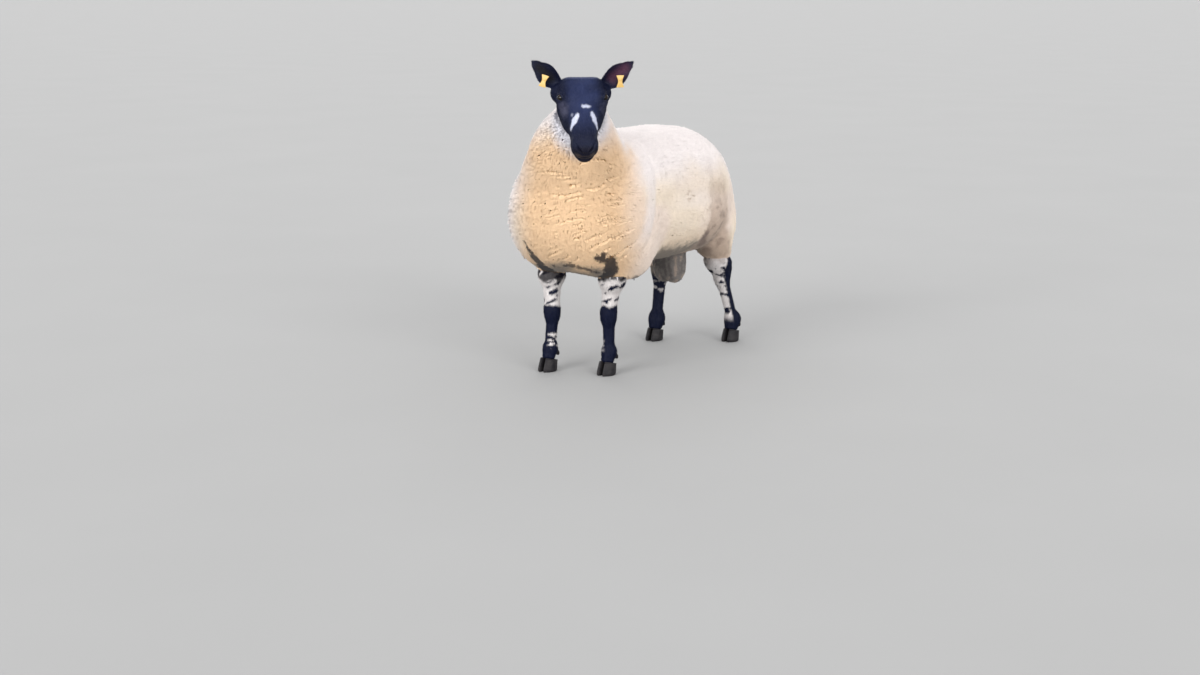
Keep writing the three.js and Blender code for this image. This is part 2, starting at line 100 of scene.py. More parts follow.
def nearestTuftCentre(p, spacing, seed):
    # the middle of the lock that each point belongs to: a jittered lattice, nearest of the cells around
    q = p / spacing
    cell = np.floor(q).astype(np.int64)
    best = np.full(len(p), 1e9)
    centre = np.zeros_like(p)
    for step in itertools.product((-1, 0, 1), repeat=3):
        k = cell + np.array(step)
        h = scramble(k, seed)
        spot = np.empty_like(p)
        for axis in range(3):
            h = (h ^ (h >> 13)) * 1274126177 + axis
            spot[:, axis] = k[:, axis] + 0.15 + 0.7 * (((h ^ (h >> 16)) & 0xFFFF) / 0xFFFF)
        far = size(spot - q)
        closer = far < best
        best[closer] = far[closer]
        centre[closer] = spot[closer]
    return centre * spacing, best


# rounded masses: each gives the distance from its surface, negative inside


def egg(centre, radii, axes=None):
    centre, radii = np.array(centre, float), np.array(radii, float)
    axes = np.eye(3) if axes is None else np.array(axes, float)

    def field(p):
        local = (p - centre) @ axes.T
        near = size(local / radii)
        return near * (near - 1) / np.maximum(size(local / radii**2), 1e-9)

    return field


def block(centre, half, roundness, axes=None):
    centre, half = np.array(centre, float), np.array(half, float)
    axes = np.eye(3) if axes is None else np.array(axes, float)

    def field(p):
        over = np.abs((p - centre) @ axes.T) - half + roundness
        return size(np.maximum(over, 0)) + np.minimum(over.max(1), 0) - roundness

    return field


def limb(start, end, startRadius, endRadius, side=None, flat=1.0):
    start, end = np.array(start, float), np.array(end, float)
    axis = end - start
    span = axis @ axis

    def field(p):
        t = np.clip((p - start) @ axis / span, 0, 1)
        q = p - start - t[:, None] * axis
        if side is not None:
            q = q + (q @ side * (1 / flat - 1))[:, None] * side
        return size(q) - (startRadius + (endRadius - startRadius) * t)

    return field


def join(soft, *masses):
    def field(p):
        d = masses[0](p)
        for mass in masses[1:]:
            e = mass(p)
            h = np.maximum(soft - np.abs(d - e), 0) / soft
            d = np.minimum(d, e) - h * h * soft * 0.25
        return d

    return field


def slopeOf(mass, p, step=0.6):
    ways = np.array([[1, -1, -1], [-1, -1, 1], [-1, 1, -1], [1, 1, 1]], float)
    return unit(sum(way * mass(p + way * step)[:, None] for way in ways))


# the trunk and neck
trunkBuild = {
    "backHeight": 731, "bellyHeight": 326, "halfWidth": 207, "chestFront": -182, "rumpBack": 711,
}
middle = (trunkBuild["backHeight"] + trunkBuild["bellyHeight"]) / 2
halfDepth = (trunkBuild["backHeight"] - trunkBuild["bellyHeight"]) / 2
bodyMass = join(
    60,
    block([0, 290, middle + 1], [trunkBuild["halfWidth"], 362, halfDepth], 178),
    egg([0, trunkBuild["chestFront"] + 178, 486], [184, 178, 166]),
    *[egg([s * 98, 40, 474], [107, 150, 162]) for s in (1, -1)],
    *[egg([s * 138, 112, 380], [54, 86, 82]) for s in (1, -1)],
    block([0, trunkBuild["rumpBack"] - 152, 500], [179, 150, 168], 142),
    egg([0, 360, trunkBuild["bellyHeight"] + 134], [206, 290, 136]),
    limb([6, -2, 560], [44, -50, 680], 160, 131),
    limb([52, -43, 692], [100, -82, 842], 117, 61),
    egg([4, -32, 640], [116, 116, 70]),
)

# the head, in its own measure: sideways to the left, down the face, and out of the face
headBuild = {
    "yaw": 41, "slope": 57, "poll": (134, -138, 930), "length": 263,
    "eyeSide": 58.5, "eyeDown": 80, "eyeOut": -8,
}
yaw, slope = math.radians(headBuild["yaw"]), math.radians(headBuild["slope"])
poll = np.array(headBuild["poll"], float)
facing = np.array([math.sin(yaw), -math.cos(yaw), 0])
headSide = np.array([math.cos(yaw), math.sin(yaw), 0])
headDown = facing * math.cos(slope) - np.array([0, 0, math.sin(slope)])
headOut = facing * math.sin(slope) + np.array([0, 0, math.cos(slope)])
headAxes = np.array([headSide, headDown, headOut])


def inHead(side, down, out):
    return poll + headSide * side + headDown * down + headOut * out


def toHead(p):
    return (p - poll) @ headAxes.T


def headEgg(side, down, out, radii):
    return egg(inHead(side, down, out), radii, headAxes)


chin = headBuild["length"]
headMass = join(
    16,
    join(
        26,
        block(inHead(0, 56, -50), [70, 56, 48], 34, headAxes),
        limb(inHead(0, 86, -46), inHead(0, 208, -30), 55, 36),
        limb(inHead(0, 112, -84), inHead(0, 222, -50), 37, 22, headSide, 1.05),
        *[headEgg(s * 33, 100, -68, [27, 52, 46]) for s in (1, -1)],
    ),
    *[headEgg(s * 55, 75, -15, [20, 27, 20]) for s in (1, -1)],
    *[headEgg(s * 70, 36, -56, [19, 26, 24]) for s in (1, -1)],
    limb(inHead(0, 56, -22), inHead(0, 206, -9), 30, 21, headSide, 1.25),
    block(inHead(0, chin - 40, -27), [36.5, 25, 24], 21, headAxes),
    *[headEgg(s * 17, chin - 31, -10, [17, 18, 13]) for s in (1, -1)],
    headEgg(0, chin - 27, -23, [30, 21, 20]),
    headEgg(0, chin - 21, -48, [23, 21, 16]),
)

# legs, tail, purse and sheath
legBuild = {
    "fore_right": {"foot": (-95, 0), "elbow": (-9, 20), "knee": (5, 7)},
    "fore_left": {"foot": (84, 63), "elbow": (38, -22), "knee": (1, -2)},
    "hind_right": {"foot": (-84, 574), "hock": (-6, 34), "stifle": (-20, 10)},
    "hind_left": {"foot": (129, 712), "hock": (-17, -38), "stifle": (-23, -102)},
    "woolEnd": {
        "fore_right": (296, 344), "fore_left": (302, 348), "hind_right": (222, 276), "hind_left": (266, 312),
    },
    "woolDepth": 14,
}
clawBuild = {"height": 40, "tilt": 14, "depth": 62, "width": 27, "cleft": 3, "points": 36}
coronetTilt = math.radians(clawBuild["tilt"])
coronetNormal = np.array([0, math.sin(coronetTilt), math.cos(coronetTilt)])
acrossBody = np.array([1.0, 0, 0])


def coronetLevel(foot, lift):
    return coronetNormal[1] * (foot[1] - 10) + coronetNormal[2] * clawBuild["height"] + lift


def pastern(x, y, fetlock):
    return [
        egg(fetlock + [0, 4, 0], [20.5, 20.5, 20.5]),
        limb(fetlock, [x, y - 6, 34], 18.5, 19.5, acrossBody, 1.1),
    ]


def foreLeg(name):
    way = legBuild[name]
    x, y = way["foot"]
    knee = np.array([x + way["knee"][0], y + way["knee"][1] + 3, 184.0])
    top = np.array([x + way["elbow"][0], y + way["elbow"][1] + 8, 400.0])
    fetlock = np.array([x, y + 5, 70.0])

    def share(t):
        return knee + (top - knee) * t

    return join(
        14,
        limb(share(1), share(0.54), 64, 44),
        limb(share(0.54), share(0.08), 32, 23),
        egg(knee, [26, 27, 35]),
        limb(knee + [0, 2, -16], fetlock, 20, 18, acrossBody, 0.94),
        *pastern(x, y, fetlock),
    )


def hindLeg(name):
    way = legBuild[name]
    x, y = way["foot"]
    hock = np.array([x + way["hock"][0], y + way["hock"][1], 232.0])
    gaskin = np.array([x + way["stifle"][0], y + way["stifle"][1], 372.0])
    thigh = np.array([x + way["stifle"][0] * 1.3, y + way["stifle"][1] + 4, 456.0])
    fetlock = np.array([x, y + 5, 72.0])
    lean = math.radians(10)
    leaning = [[1, 0, 0], [0, math.cos(lean), math.sin(lean)], [0, -math.sin(lean), math.cos(lean)]]

    def share(t):
        return hock + (gaskin - hock) * t

    return join(
        24,
        egg(thigh, [70, 107, 161], leaning),
        egg(thigh + [math.copysign(6, x), 26, -56], [60, 72, 104]),
        limb(gaskin, share(0.34), 68, 44),
        limb(share(0.4), share(0.1), 42, 32, acrossBody, 0.92),
        limb(hock + [0, 10, 10], hock + [0, 0, -20], 25, 23, acrossBody, 0.88),
        limb(hock + [0, 1, -20], fetlock, 22, 19, acrossBody, 0.9),
        *pastern(x, y, fetlock),
    )


legNames = ["fore_right", "fore_left", "hind_right", "hind_left"]
legMass = {name: foreLeg(name) if name.startswith("fore") else hindLeg(name) for name in legNames}
rumpBack = trunkBuild["rumpBack"]
tailMass = join(
    20,
    limb([0, rumpBack - 57, 601], [0, rumpBack - 18, 557], 38, 36, acrossBody, 1.1),
    limb([0, rumpBack - 18, 557], [0, rumpBack - 6, 510], 36, 30, acrossBody, 1.1),
)
purseLow = np.array([-2.0, 530.0, 261.0])
purseMass = join(
    20,
    limb([-6, 530, 340], purseLow, 64, 44),
    *[egg(purseLow + [s * 22, 0, 8], [33, 44, 60]) for s in (1, -1)],
)
sheathMass = limb([0, 366, 342], [0, 330, 306], 30, 19)
sheathTip = np.array([0.0, 326.0, 298.0])

# where the skin lies and where the wool's tips end
skinBuild = {"wool": 17, "hair": 1.5, "tail": 13, "purse": 11, "sheath": 6, "voxel": 8.0}


def woolOnLeg(name, z):
    low, high = legBuild["woolEnd"][name]
    return ease(low, high, z)


def legSkin(name):
    foot = legBuild[name]["foot"]

    def field(p):
        deep = skinBuild["hair"] + legBuild["woolDepth"] * woolOnLeg(name, p[:, 2])
        above = coronetLevel(foot, 0.4) - p @ coronetNormal
        return np.maximum(legMass[name](p) + deep, above)

    return field


def sunk(mass, deep):
    return lambda p: mass(p) + deep


skinField = join(
    14,
    sunk(bodyMass, skinBuild["wool"]),
    sunk(headMass, skinBuild["hair"]),
    *[legSkin(name) for name in legNames],
    sunk(tailMass, skinBuild["tail"]),
    sunk(purseMass, skinBuild["purse"]),
    sunk(sheathMass, skinBuild["sheath"]),
)


def legWool(name):
    return lambda p: legMass[name](p) + legBuild["woolDepth"] * (1 - woolOnLeg(name, p[:, 2]))


woolField = join(20, bodyMass, *[legWool(name) for name in legNames], tailMass, purseMass, sheathMass)

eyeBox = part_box("eye_left")
eyeMiddle = np.array([(a + b) / 2 for a, b in zip(*eyeBox)]) * 1000
shift = eyeMiddle - inHead(headBuild["eyeSide"], headBuild["eyeDown"], headBuild["eyeOut"])
shift[2] = 0.0
print("standing frame to row frame, mm", np.round(shift, 2))


def toRow(p):
    return (p + shift) / 1000


def toStand(p):
    return p * 1000 - shift


def rowPoint(place):
    return Vector(toRow(np.array(place)))


# meshes to and from arrays
def readAll(items, key, wide, kind=np.float32):
    # one row of numbers for each item of a mesh
    flat = np.empty(len(items) * wide, kind)
    items.foreach_get(key, flat)
    return flat.reshape(-1, wide)


def placesOf(mesh):
    return toStand(readAll(mesh.vertices, "co", 3).astype(float))


def movePlaces(mesh, p):
    mesh.vertices.foreach_set("co", toRow(p).astype(np.float32).ravel())
    mesh.update()


def newObject(name, data):
    made = bpy.data.objects.new(name, data)
    bpy.context.scene.collection.objects.link(made)
    return made


def evaluated(thing):
    graph = bpy.context.evaluated_depsgraph_get()
    return bpy.data.meshes.new_from_object(thing.evaluated_get(graph))


def newPiece(name, mesh, slotName, *nodes):
    piece = newObject(name, mesh)
    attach(piece, "root")
    if nodes:
        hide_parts(*nodes)
    return piece


def meshFrom(bm, name):
    bmesh.ops.recalc_face_normals(bm, faces=bm.faces)
    mesh = bpy.data.meshes.new(name)
    bm.to_mesh(mesh)
    bm.free()
    mesh.polygons.foreach_set("use_smooth", [True] * len(mesh.polygons))
    mesh.update()
    return mesh


def loft(rings, lastPoint=None):
    # a closed tube through rings of equal count, its end drawn to a point if one is given
    bm = bmesh.new()
    ring = bmesh.ops.create_circle(bm, cap_ends=True, segments=len(rings[0]), radius=1)["verts"]
    for v, place in zip(ring, rings[0]):
        v.co = rowPoint(place)
    startCap = bm.faces[:]
    edges = bm.edges[:]
    for places in rings[1:]:
        made = bmesh.ops.extrude_edge_only(bm, edges=edges)["geom"]
        edges = [g for g in made if isinstance(g, bmesh.types.BMEdge)]
        fresh = {g for g in made if isinstance(g, bmesh.types.BMVert)}
        nextRing = []
        for v in ring:
            nextRing.append(next(e.other_vert(v) for e in v.link_edges if e.other_vert(v) in fresh))
        ring = nextRing
        for v, place in zip(ring, places):
            v.co = rowPoint(place)
        edges = [e for e in edges if e.verts[0] in fresh and e.verts[1] in fresh]
    endCap = bmesh.ops.contextual_create(bm, geom=edges)["faces"]
    bmesh.ops.poke(bm, faces=startCap)
    centre = bmesh.ops.poke(bm, faces=endCap)["verts"]
    if lastPoint is not None:
        centre[0].co = rowPoint(lastPoint)
    return bm


# skin
fleshNodes = ["trunk", "neck", "head", "tail", "scrotum", "sheath", *["leg_" + n for n in legNames]]


def relax(p, edges, amount, normals):
    # slides points along the surface toward the middle of their neighbours
    total = np.zeros_like(p)
    count = np.bincount(edges.ravel(), minlength=len(p)).astype(float)
    for axis in range(3):
        total[:, axis] = np.bincount(edges[:, 0], p[edges[:, 1], axis], len(p))
        total[:, axis] += np.bincount(edges[:, 1], p[edges[:, 0], axis], len(p))
    pull = total / np.maximum(count, 1)[:, None] - p
    pull -= (pull * normals).sum(1, keepdims=True) * normals
    return p + pull * amount


def settle(mesh, rounds, amount):
    # draws the mesh onto the skin's own surface
    p = placesOf(mesh)
    edges = readAll(mesh.edges, "vertices", 2, np.int32)
    for turn in range(rounds):
        normals = slopeOf(skinField, p)
        p = p - np.clip(skinField(p), -9, 9)[:, None] * normals
        if turn < rounds - 1:
            p = relax(p, edges, amount, normals)
    movePlaces(mesh, p)


def refine(mesh, wanted):
    # halves the faces whose middle is wanted; the edges go in face order, so that every run is alike
    bm = bmesh.new()
    bm.from_mesh(mesh)
    centres = toStand(np.array([f.calc_center_median()[:] for f in bm.faces]))
    chosen = wanted(centres)
    edges = list(dict.fromkeys(e for f, take in zip(bm.faces, chosen) if take for e in f.edges))
    bmesh.ops.subdivide_edges(bm, edges=edges, cuts=1, use_grid_fill=True)
    bm.to_mesh(mesh)
    bm.free()


bm = bmesh.new()
for name in fleshNodes:
    bm.from_mesh(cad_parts[name].data)
bmesh.ops.remove_doubles(bm, verts=bm.verts, dist=1e-6)
rough = newObject("rough", meshFrom(bm, "rough"))
remesh = rough.modifiers.new("remesh", "REMESH")
remesh.mode = "VOXEL"
remesh.voxel_size = skinBuild["voxel"] / 1000
skinMesh = evaluated(rough)
bpy.data.objects.remove(rough)
settle(skinMesh, 7, 0.5)


def onHairParts(p):
    h = toHead(p)
    nearLeg = np.min([legMass[name](p) for name in legNames], axis=0) < 12
    return ((headMass(p) < 10) & (h[:, 1] > -30)) | (nearLeg & (p[:, 2] < 330))


def nearEye(p, side, out, reach):
    h = toHead(p)
    level = np.ones(len(p))
    return size(h - np.stack([np.sign(h[:, 0]) * side, level * 80, level * out], 1)) < reach


def faceDetail(p):
    down = toHead(p)[:, 1]
    return ((down > 192) & (down < 290) & (headMass(p) < 10)) | nearEye(p, 60, -6, 34)


def eyeDetail(p):
    return nearEye(p, 62, -4, 22)


refine(skinMesh, onHairParts)
settle(skinMesh, 3, 0.5)
refine(skinMesh, faceDetail)
settle(skinMesh, 3, 0.4)
refine(skinMesh, eyeDetail)
settle(skinMesh, 2, 0.3)
print("skin settled", len(skinMesh.vertices), "points")

# eyelids, nostrils and mouth, pressed into the settled skin
faceBuild = {
    "lidLong": 13.0, "lidHigh": 6.6, "lidThick": 2.0, "ball": 13.4, "sink": 3.2,
    "mouthOut": -37, "mouthTilt": 8, "mouthBack": 208, "mouthDeep": 3.6, "mouthWide": 2.2,
    "nostrilDeep": 7.5, "nostrilWide": 3.4,
}


def eyeFrame(side):
    # centre, gaze, and the direction of the lids' opening toward the nose
    centre = inHead(side * headBuild["eyeSide"], headBuild["eyeDown"], headBuild["eyeOut"])
    gaze = unit(headSide * side * 0.84 + headOut * 0.5 + headDown * -0.05)
    toNose = facing * 0.8 + np.array([0, 0, -0.42])
    toNose = unit(toNose - gaze * (toNose @ gaze))
    upward = np.cross(gaze, toNose)
    upward = upward * np.sign(upward[2])
    return centre, gaze, toNose, upward


def lidEdge(along, across):
    # signed distance outside the almond of the opening
    long, high = faceBuild["lidLong"], faceBuild["lidHigh"]
    t = np.clip(along / long, -1, 1)
    half = high * np.sqrt(np.maximum(1 - t * t, 0)) ** 1.25
    half = np.where(across < 0, half * 0.82, half)
    outside = np.maximum(np.abs(along) - long, 0)
    return np.where(outside > 0, np.hypot(outside, across), np.abs(across) - half)


def pressEyes(p):
    for side in (1, -1):
        centre, gaze, toNose, upward = eyeFrame(side)
        local = p - centre
        ahead, along, across = local @ gaze, local @ toNose, local @ upward
        reach = size(local)
        near = (reach < 30) & (ahead > 2)
        edge = lidEdge(along, across)
        # snap what is nearly on the rim to it
        shiftTo = np.where(np.abs(edge) < 0.7, -edge, 0) * np.sign(across + 1e-9)
        across2 = np.where(near & (np.abs(along) < faceBuild["lidLong"] * 0.97), across + shiftTo, across)
        edge = lidEdge(along, across2)
        depth = np.sqrt(np.maximum(reach**2 - along**2 - across2**2, 1))
        flatWay = unit(np.stack([along, across2, depth], 1))
        rim = faceBuild["ball"] + faceBuild["lidThick"]
        lid = rim * (1 - ease(3, 15, edge)) + reach * ease(3, 15, edge)
        lid = lid - 1.5 * bell(edge - 5.0, 1.4) * (across > 0)
        lid = lid + 2.2 * bell(edge - 9.5, 3.0) * ease(0, 5, across)
        lid = lid - 0.9 * (1 - ease(-0.2, 1.4, edge))
        lid = np.maximum(lid, np.minimum(reach, rim))
        radius = np.where(edge < -0.3, faceBuild["ball"] - faceBuild["sink"], lid)
        made = centre + radius[:, None] * (
            flatWay[:, :1] * toNose + flatWay[:, 1:2] * upward + flatWay[:, 2:] * gaze
        )
        share = (near & (edge < 16))[:, None]
        p = np.where(share, made, p)
    return p


def pathDistance(h, path):
    # distance of points from a line through named places, and how far along it they are
    best = np.full(len(h), 1e9)
    where = np.zeros(len(h))
    path = np.array(path, float)
    for i in range(len(path) - 1):
        a, b = path[i], path[i + 1]
        t = np.clip((h - a) @ (b - a) / max((b - a) @ (b - a), 1e-9), 0, 1)
        far = size(h - a - t[:, None] * (b - a))
        closer = far < best
        best[closer] = far[closer]
        where[closer] = (i + t[closer]) / (len(path) - 1)
    return best, where


def mouthLine(down):
    tilt = math.tan(math.radians(faceBuild["mouthTilt"]))
    return faceBuild["mouthOut"] + (headBuild["length"] - down) * -tilt


def nostrilLine(s):
    return [(s * 8, chin - 9, -14), (s * 15, chin - 12, -6), (s * 22, chin - 20, 0), (s * 25, chin - 30, 1)]


def pressMuzzle(p, normals):
    h = toHead(p)
    down, out = h[:, 1], h[:, 2]
    inward = np.zeros(len(p))
    onFace = headMass(p) < 6
    # the mouth runs round the muzzle to its corners
    corner, overMouth = faceBuild["mouthBack"], out - mouthLine(down)
    mouth = faceBuild["mouthDeep"] * bell(overMouth, faceBuild["mouthWide"])
    inward += mouth * ease(corner, corner + 10, down)
    # a fuller lip above it
    inward -= 1.1 * bell(overMouth - 7, 4) * ease(220, 240, down)
    # nostrils: slits that start by the middle and sweep up and outward
    for s in (1, -1):
        far, where = pathDistance(h, nostrilLine(s))
        deep = faceBuild["nostrilDeep"] * (0.45 + 0.55 * np.sin(np.pi * np.clip(where * 0.9 + 0.05, 0, 1)))
        inward += deep * bell(far, faceBuild["nostrilWide"])
        inward -= 1.3 * bell(far - 6, 2.4) * (where > 0.1)
    # the cleft of the upper lip
    far = pathDistance(h, [(0, chin - 9, -10), (0, chin, -24), (0, chin - 1, -36)])[0]
    inward += 2.2 * bell(far, 1.6)
    # a shallow gland pit in front of each eye
    for s in (1, -1):
        far = pathDistance(h, [(s * 50, 108, -12), (s * 45, 122, -13)])[0]
        inward += 1.8 * bell(far, 3.5)
    return p - (inward * onFace)[:, None] * normals


settled = placesOf(skinMesh)
movePlaces(skinMesh, pressEyes(pressMuzzle(settled, slopeOf(skinField, settled))))
print("face pressed")

# ears
earBuild = {
    "length": 114, "width": 62, "thick": 5.0, "steps": 30, "half": 11,
    "left": {"rise": 37, "back": 0.12, "turn": 0.15},
    "right": {"rise": 42, "back": 0.42, "turn": 0.2},
}


def earFrame(side):
    way = earBuild["left" if side > 0 else "right"]
    rise = math.radians(way["rise"])
    axis = unit(headSide * side * math.cos(rise) + np.array([0, 0, math.sin(rise)]) - facing * way["back"])
    hollow = facing + headSide * side * way["turn"]
    hollow = unit(hollow - axis * (hollow @ axis))
    across = np.cross(hollow, axis) * side
    return inHead(side * 61, 25, -38), axis, hollow, across


def earRings(side):
    base, axis, hollow, across = earFrame(side)
    steps, half = earBuild["steps"], earBuild["half"]
    rings = []
    for r in range(-3, steps + 1):
        t = 0.995 * math.sin(max(r, 0) / steps * math.pi / 2)
        into = min(r, 0) * 5.0  # the root runs on into the head
        leaf = earBuild["width"] / 2 * (0.72 + 0.4 * math.sin(math.pi * min(1, t * 1.25)))
        leaf *= math.sqrt(max(1 - t**4, 0.0016))
        radius = 13 + 34 * min(1, t * 1.6)
        wall = earBuild["thick"] * (1 - 0.5 * t)
        outer, inner = [], []
        for i in range(-half, half + 1):
            s = i / half
            angle = leaf / radius * s
            thick = wall * (1 - 0.6 * abs(s) ** 3)
            frill = 1.4 * math.sin(s * 7 + t * 9) * t * s * s
            for reach, row in ((radius + thick / 2, outer), (radius - thick / 2, inner)):
                place = base + axis * (t * earBuild["length"] * (1 - 0.05 * s * s) + into)
                place = place + across * (reach * math.sin(angle))
                place = place + hollow * (radius - reach * math.cos(angle) - 12 * (1 - t) ** 2 + frill)
                row.append(place)
        rings.append(outer + inner[::-1])
    tip = base + axis * earBuild["length"]
    return rings, tip


def inOrder(mesh):
    # the same faces in a fixed order, because the union gives them in another order in each run
    faces = []
    for face in mesh.polygons:
        ring = list(face.vertices)
        first = ring.index(min(ring))
        faces.append(ring[first:] + ring[:first])
    ordered = bpy.data.meshes.new("ordered")
    ordered.from_pydata([v.co for v in mesh.vertices], [], sorted(faces))
    return ordered


earTrees = []
for side in (1, -1):
    rings, tip = earRings(side)
    earMesh = meshFrom(loft(rings, lastPoint=tip), "ear")
    places, faces = [v.co for v in earMesh.vertices], [q.vertices[:] for q in earMesh.polygons]
    earTrees.append((side, BVHTree.FromPolygons(places, faces)))
    whole, leaf = newObject("whole", skinMesh), newObject("leaf", earMesh)
    union = whole.modifiers.new("join", "BOOLEAN")
    union.operation, union.solver, union.object = "UNION", "MANIFOLD", leaf
    skinMesh = inOrder(evaluated(whole))
    for spent in (whole, leaf):
        bpy.data.objects.remove(spent)
print("ears joined", len(skinMesh.vertices), "points")


def earShare(p):
    # 1 on the left ear, -1 on the right one, 0 elsewhere
    within = 0.25 / 1000
    share = np.zeros(len(p))
    h = toHead(p)
    near = (np.abs(h[:, 0]) > 44) & (h[:, 1] < 80) & (h[:, 1] > -130)
    for i in np.nonzero(near)[0]:
        for side, tree in earTrees:
            if side * h[i, 0] > 0 and tree.find_nearest(rowPoint(p[i]), within)[0] is not None:
                share[i] = side
    return share


# smooth the crease where each ear leaves the head
bm = bmesh.new()
bm.from_mesh(skinMesh)
bmesh.ops.remove_doubles(bm, verts=bm.verts, dist=5e-5)
bmesh.ops.dissolve_degenerate(bm, dist=5e-5, edges=bm.edges)
bmesh.ops.triangulate(bm, faces=[f for f in bm.faces if len(f.verts) > 4])
p = toStand(np.array([v.co[:] for v in bm.verts]))
share = earShare(p)
crease = {}
for v in bm.verts:
    kinds = {share[v.index] != 0} | {share[e.other_vert(v).index] != 0 for e in v.link_edges}
    if len(kinds) == 2 and toHead(p[v.index : v.index + 1])[0, 1] < 80:
        crease[v] = True
for growth in range(2):
    crease |= dict.fromkeys(e.other_vert(v) for v in list(crease) for e in v.link_edges)
everyAxis = {"use_axis_x": True, "use_axis_y": True, "use_axis_z": True}
for turn in range(6):
    bmesh.ops.smooth_vert(bm, verts=list(crease), factor=0.5, **everyAxis)
skinMesh = meshFrom(bm, "skin")

# markings, the same on skin and coat
coatColours = {
    "snow": "#f2eae8", "cream": "#f1e1cd", "blush": "#efdcd4", "gold": "#efcba3", "crack": "#a87946",
    "collar": "#e9e9f2", "stain": "#bca694", "soilAndShade": "#7d6a60", "bellyDirtAndShade": "#8d8276", "purse": "#7c7672",
    "black": "#0d132b", "sheen": "#283154", "crown": "#565e7e", "brown": "#45465a", "nose": "#08081c",
    "white": "#c9cde0", "legWhite": "#e0dad8", "darkHairAndShade": "#17131b", "earInside": "#4a2c3e",
    "earDark": "#0b0a12",
}
coatLinear = {name: toLinear(code) for name, code in coatColours.items()}


def allOver(p, colour):
    return np.tile(coatLinear[colour], (len(p), 1))


def blended(base, colour, amount):
    return base + (coatLinear[colour] - base) * np.clip(amount, 0, 1)[:, None]


def acrossChest(p):
    # level measure across the breast, which faces a little to the animal's left
    return 0.81 * p[:, 0] + 0.585 * p[:, 1]


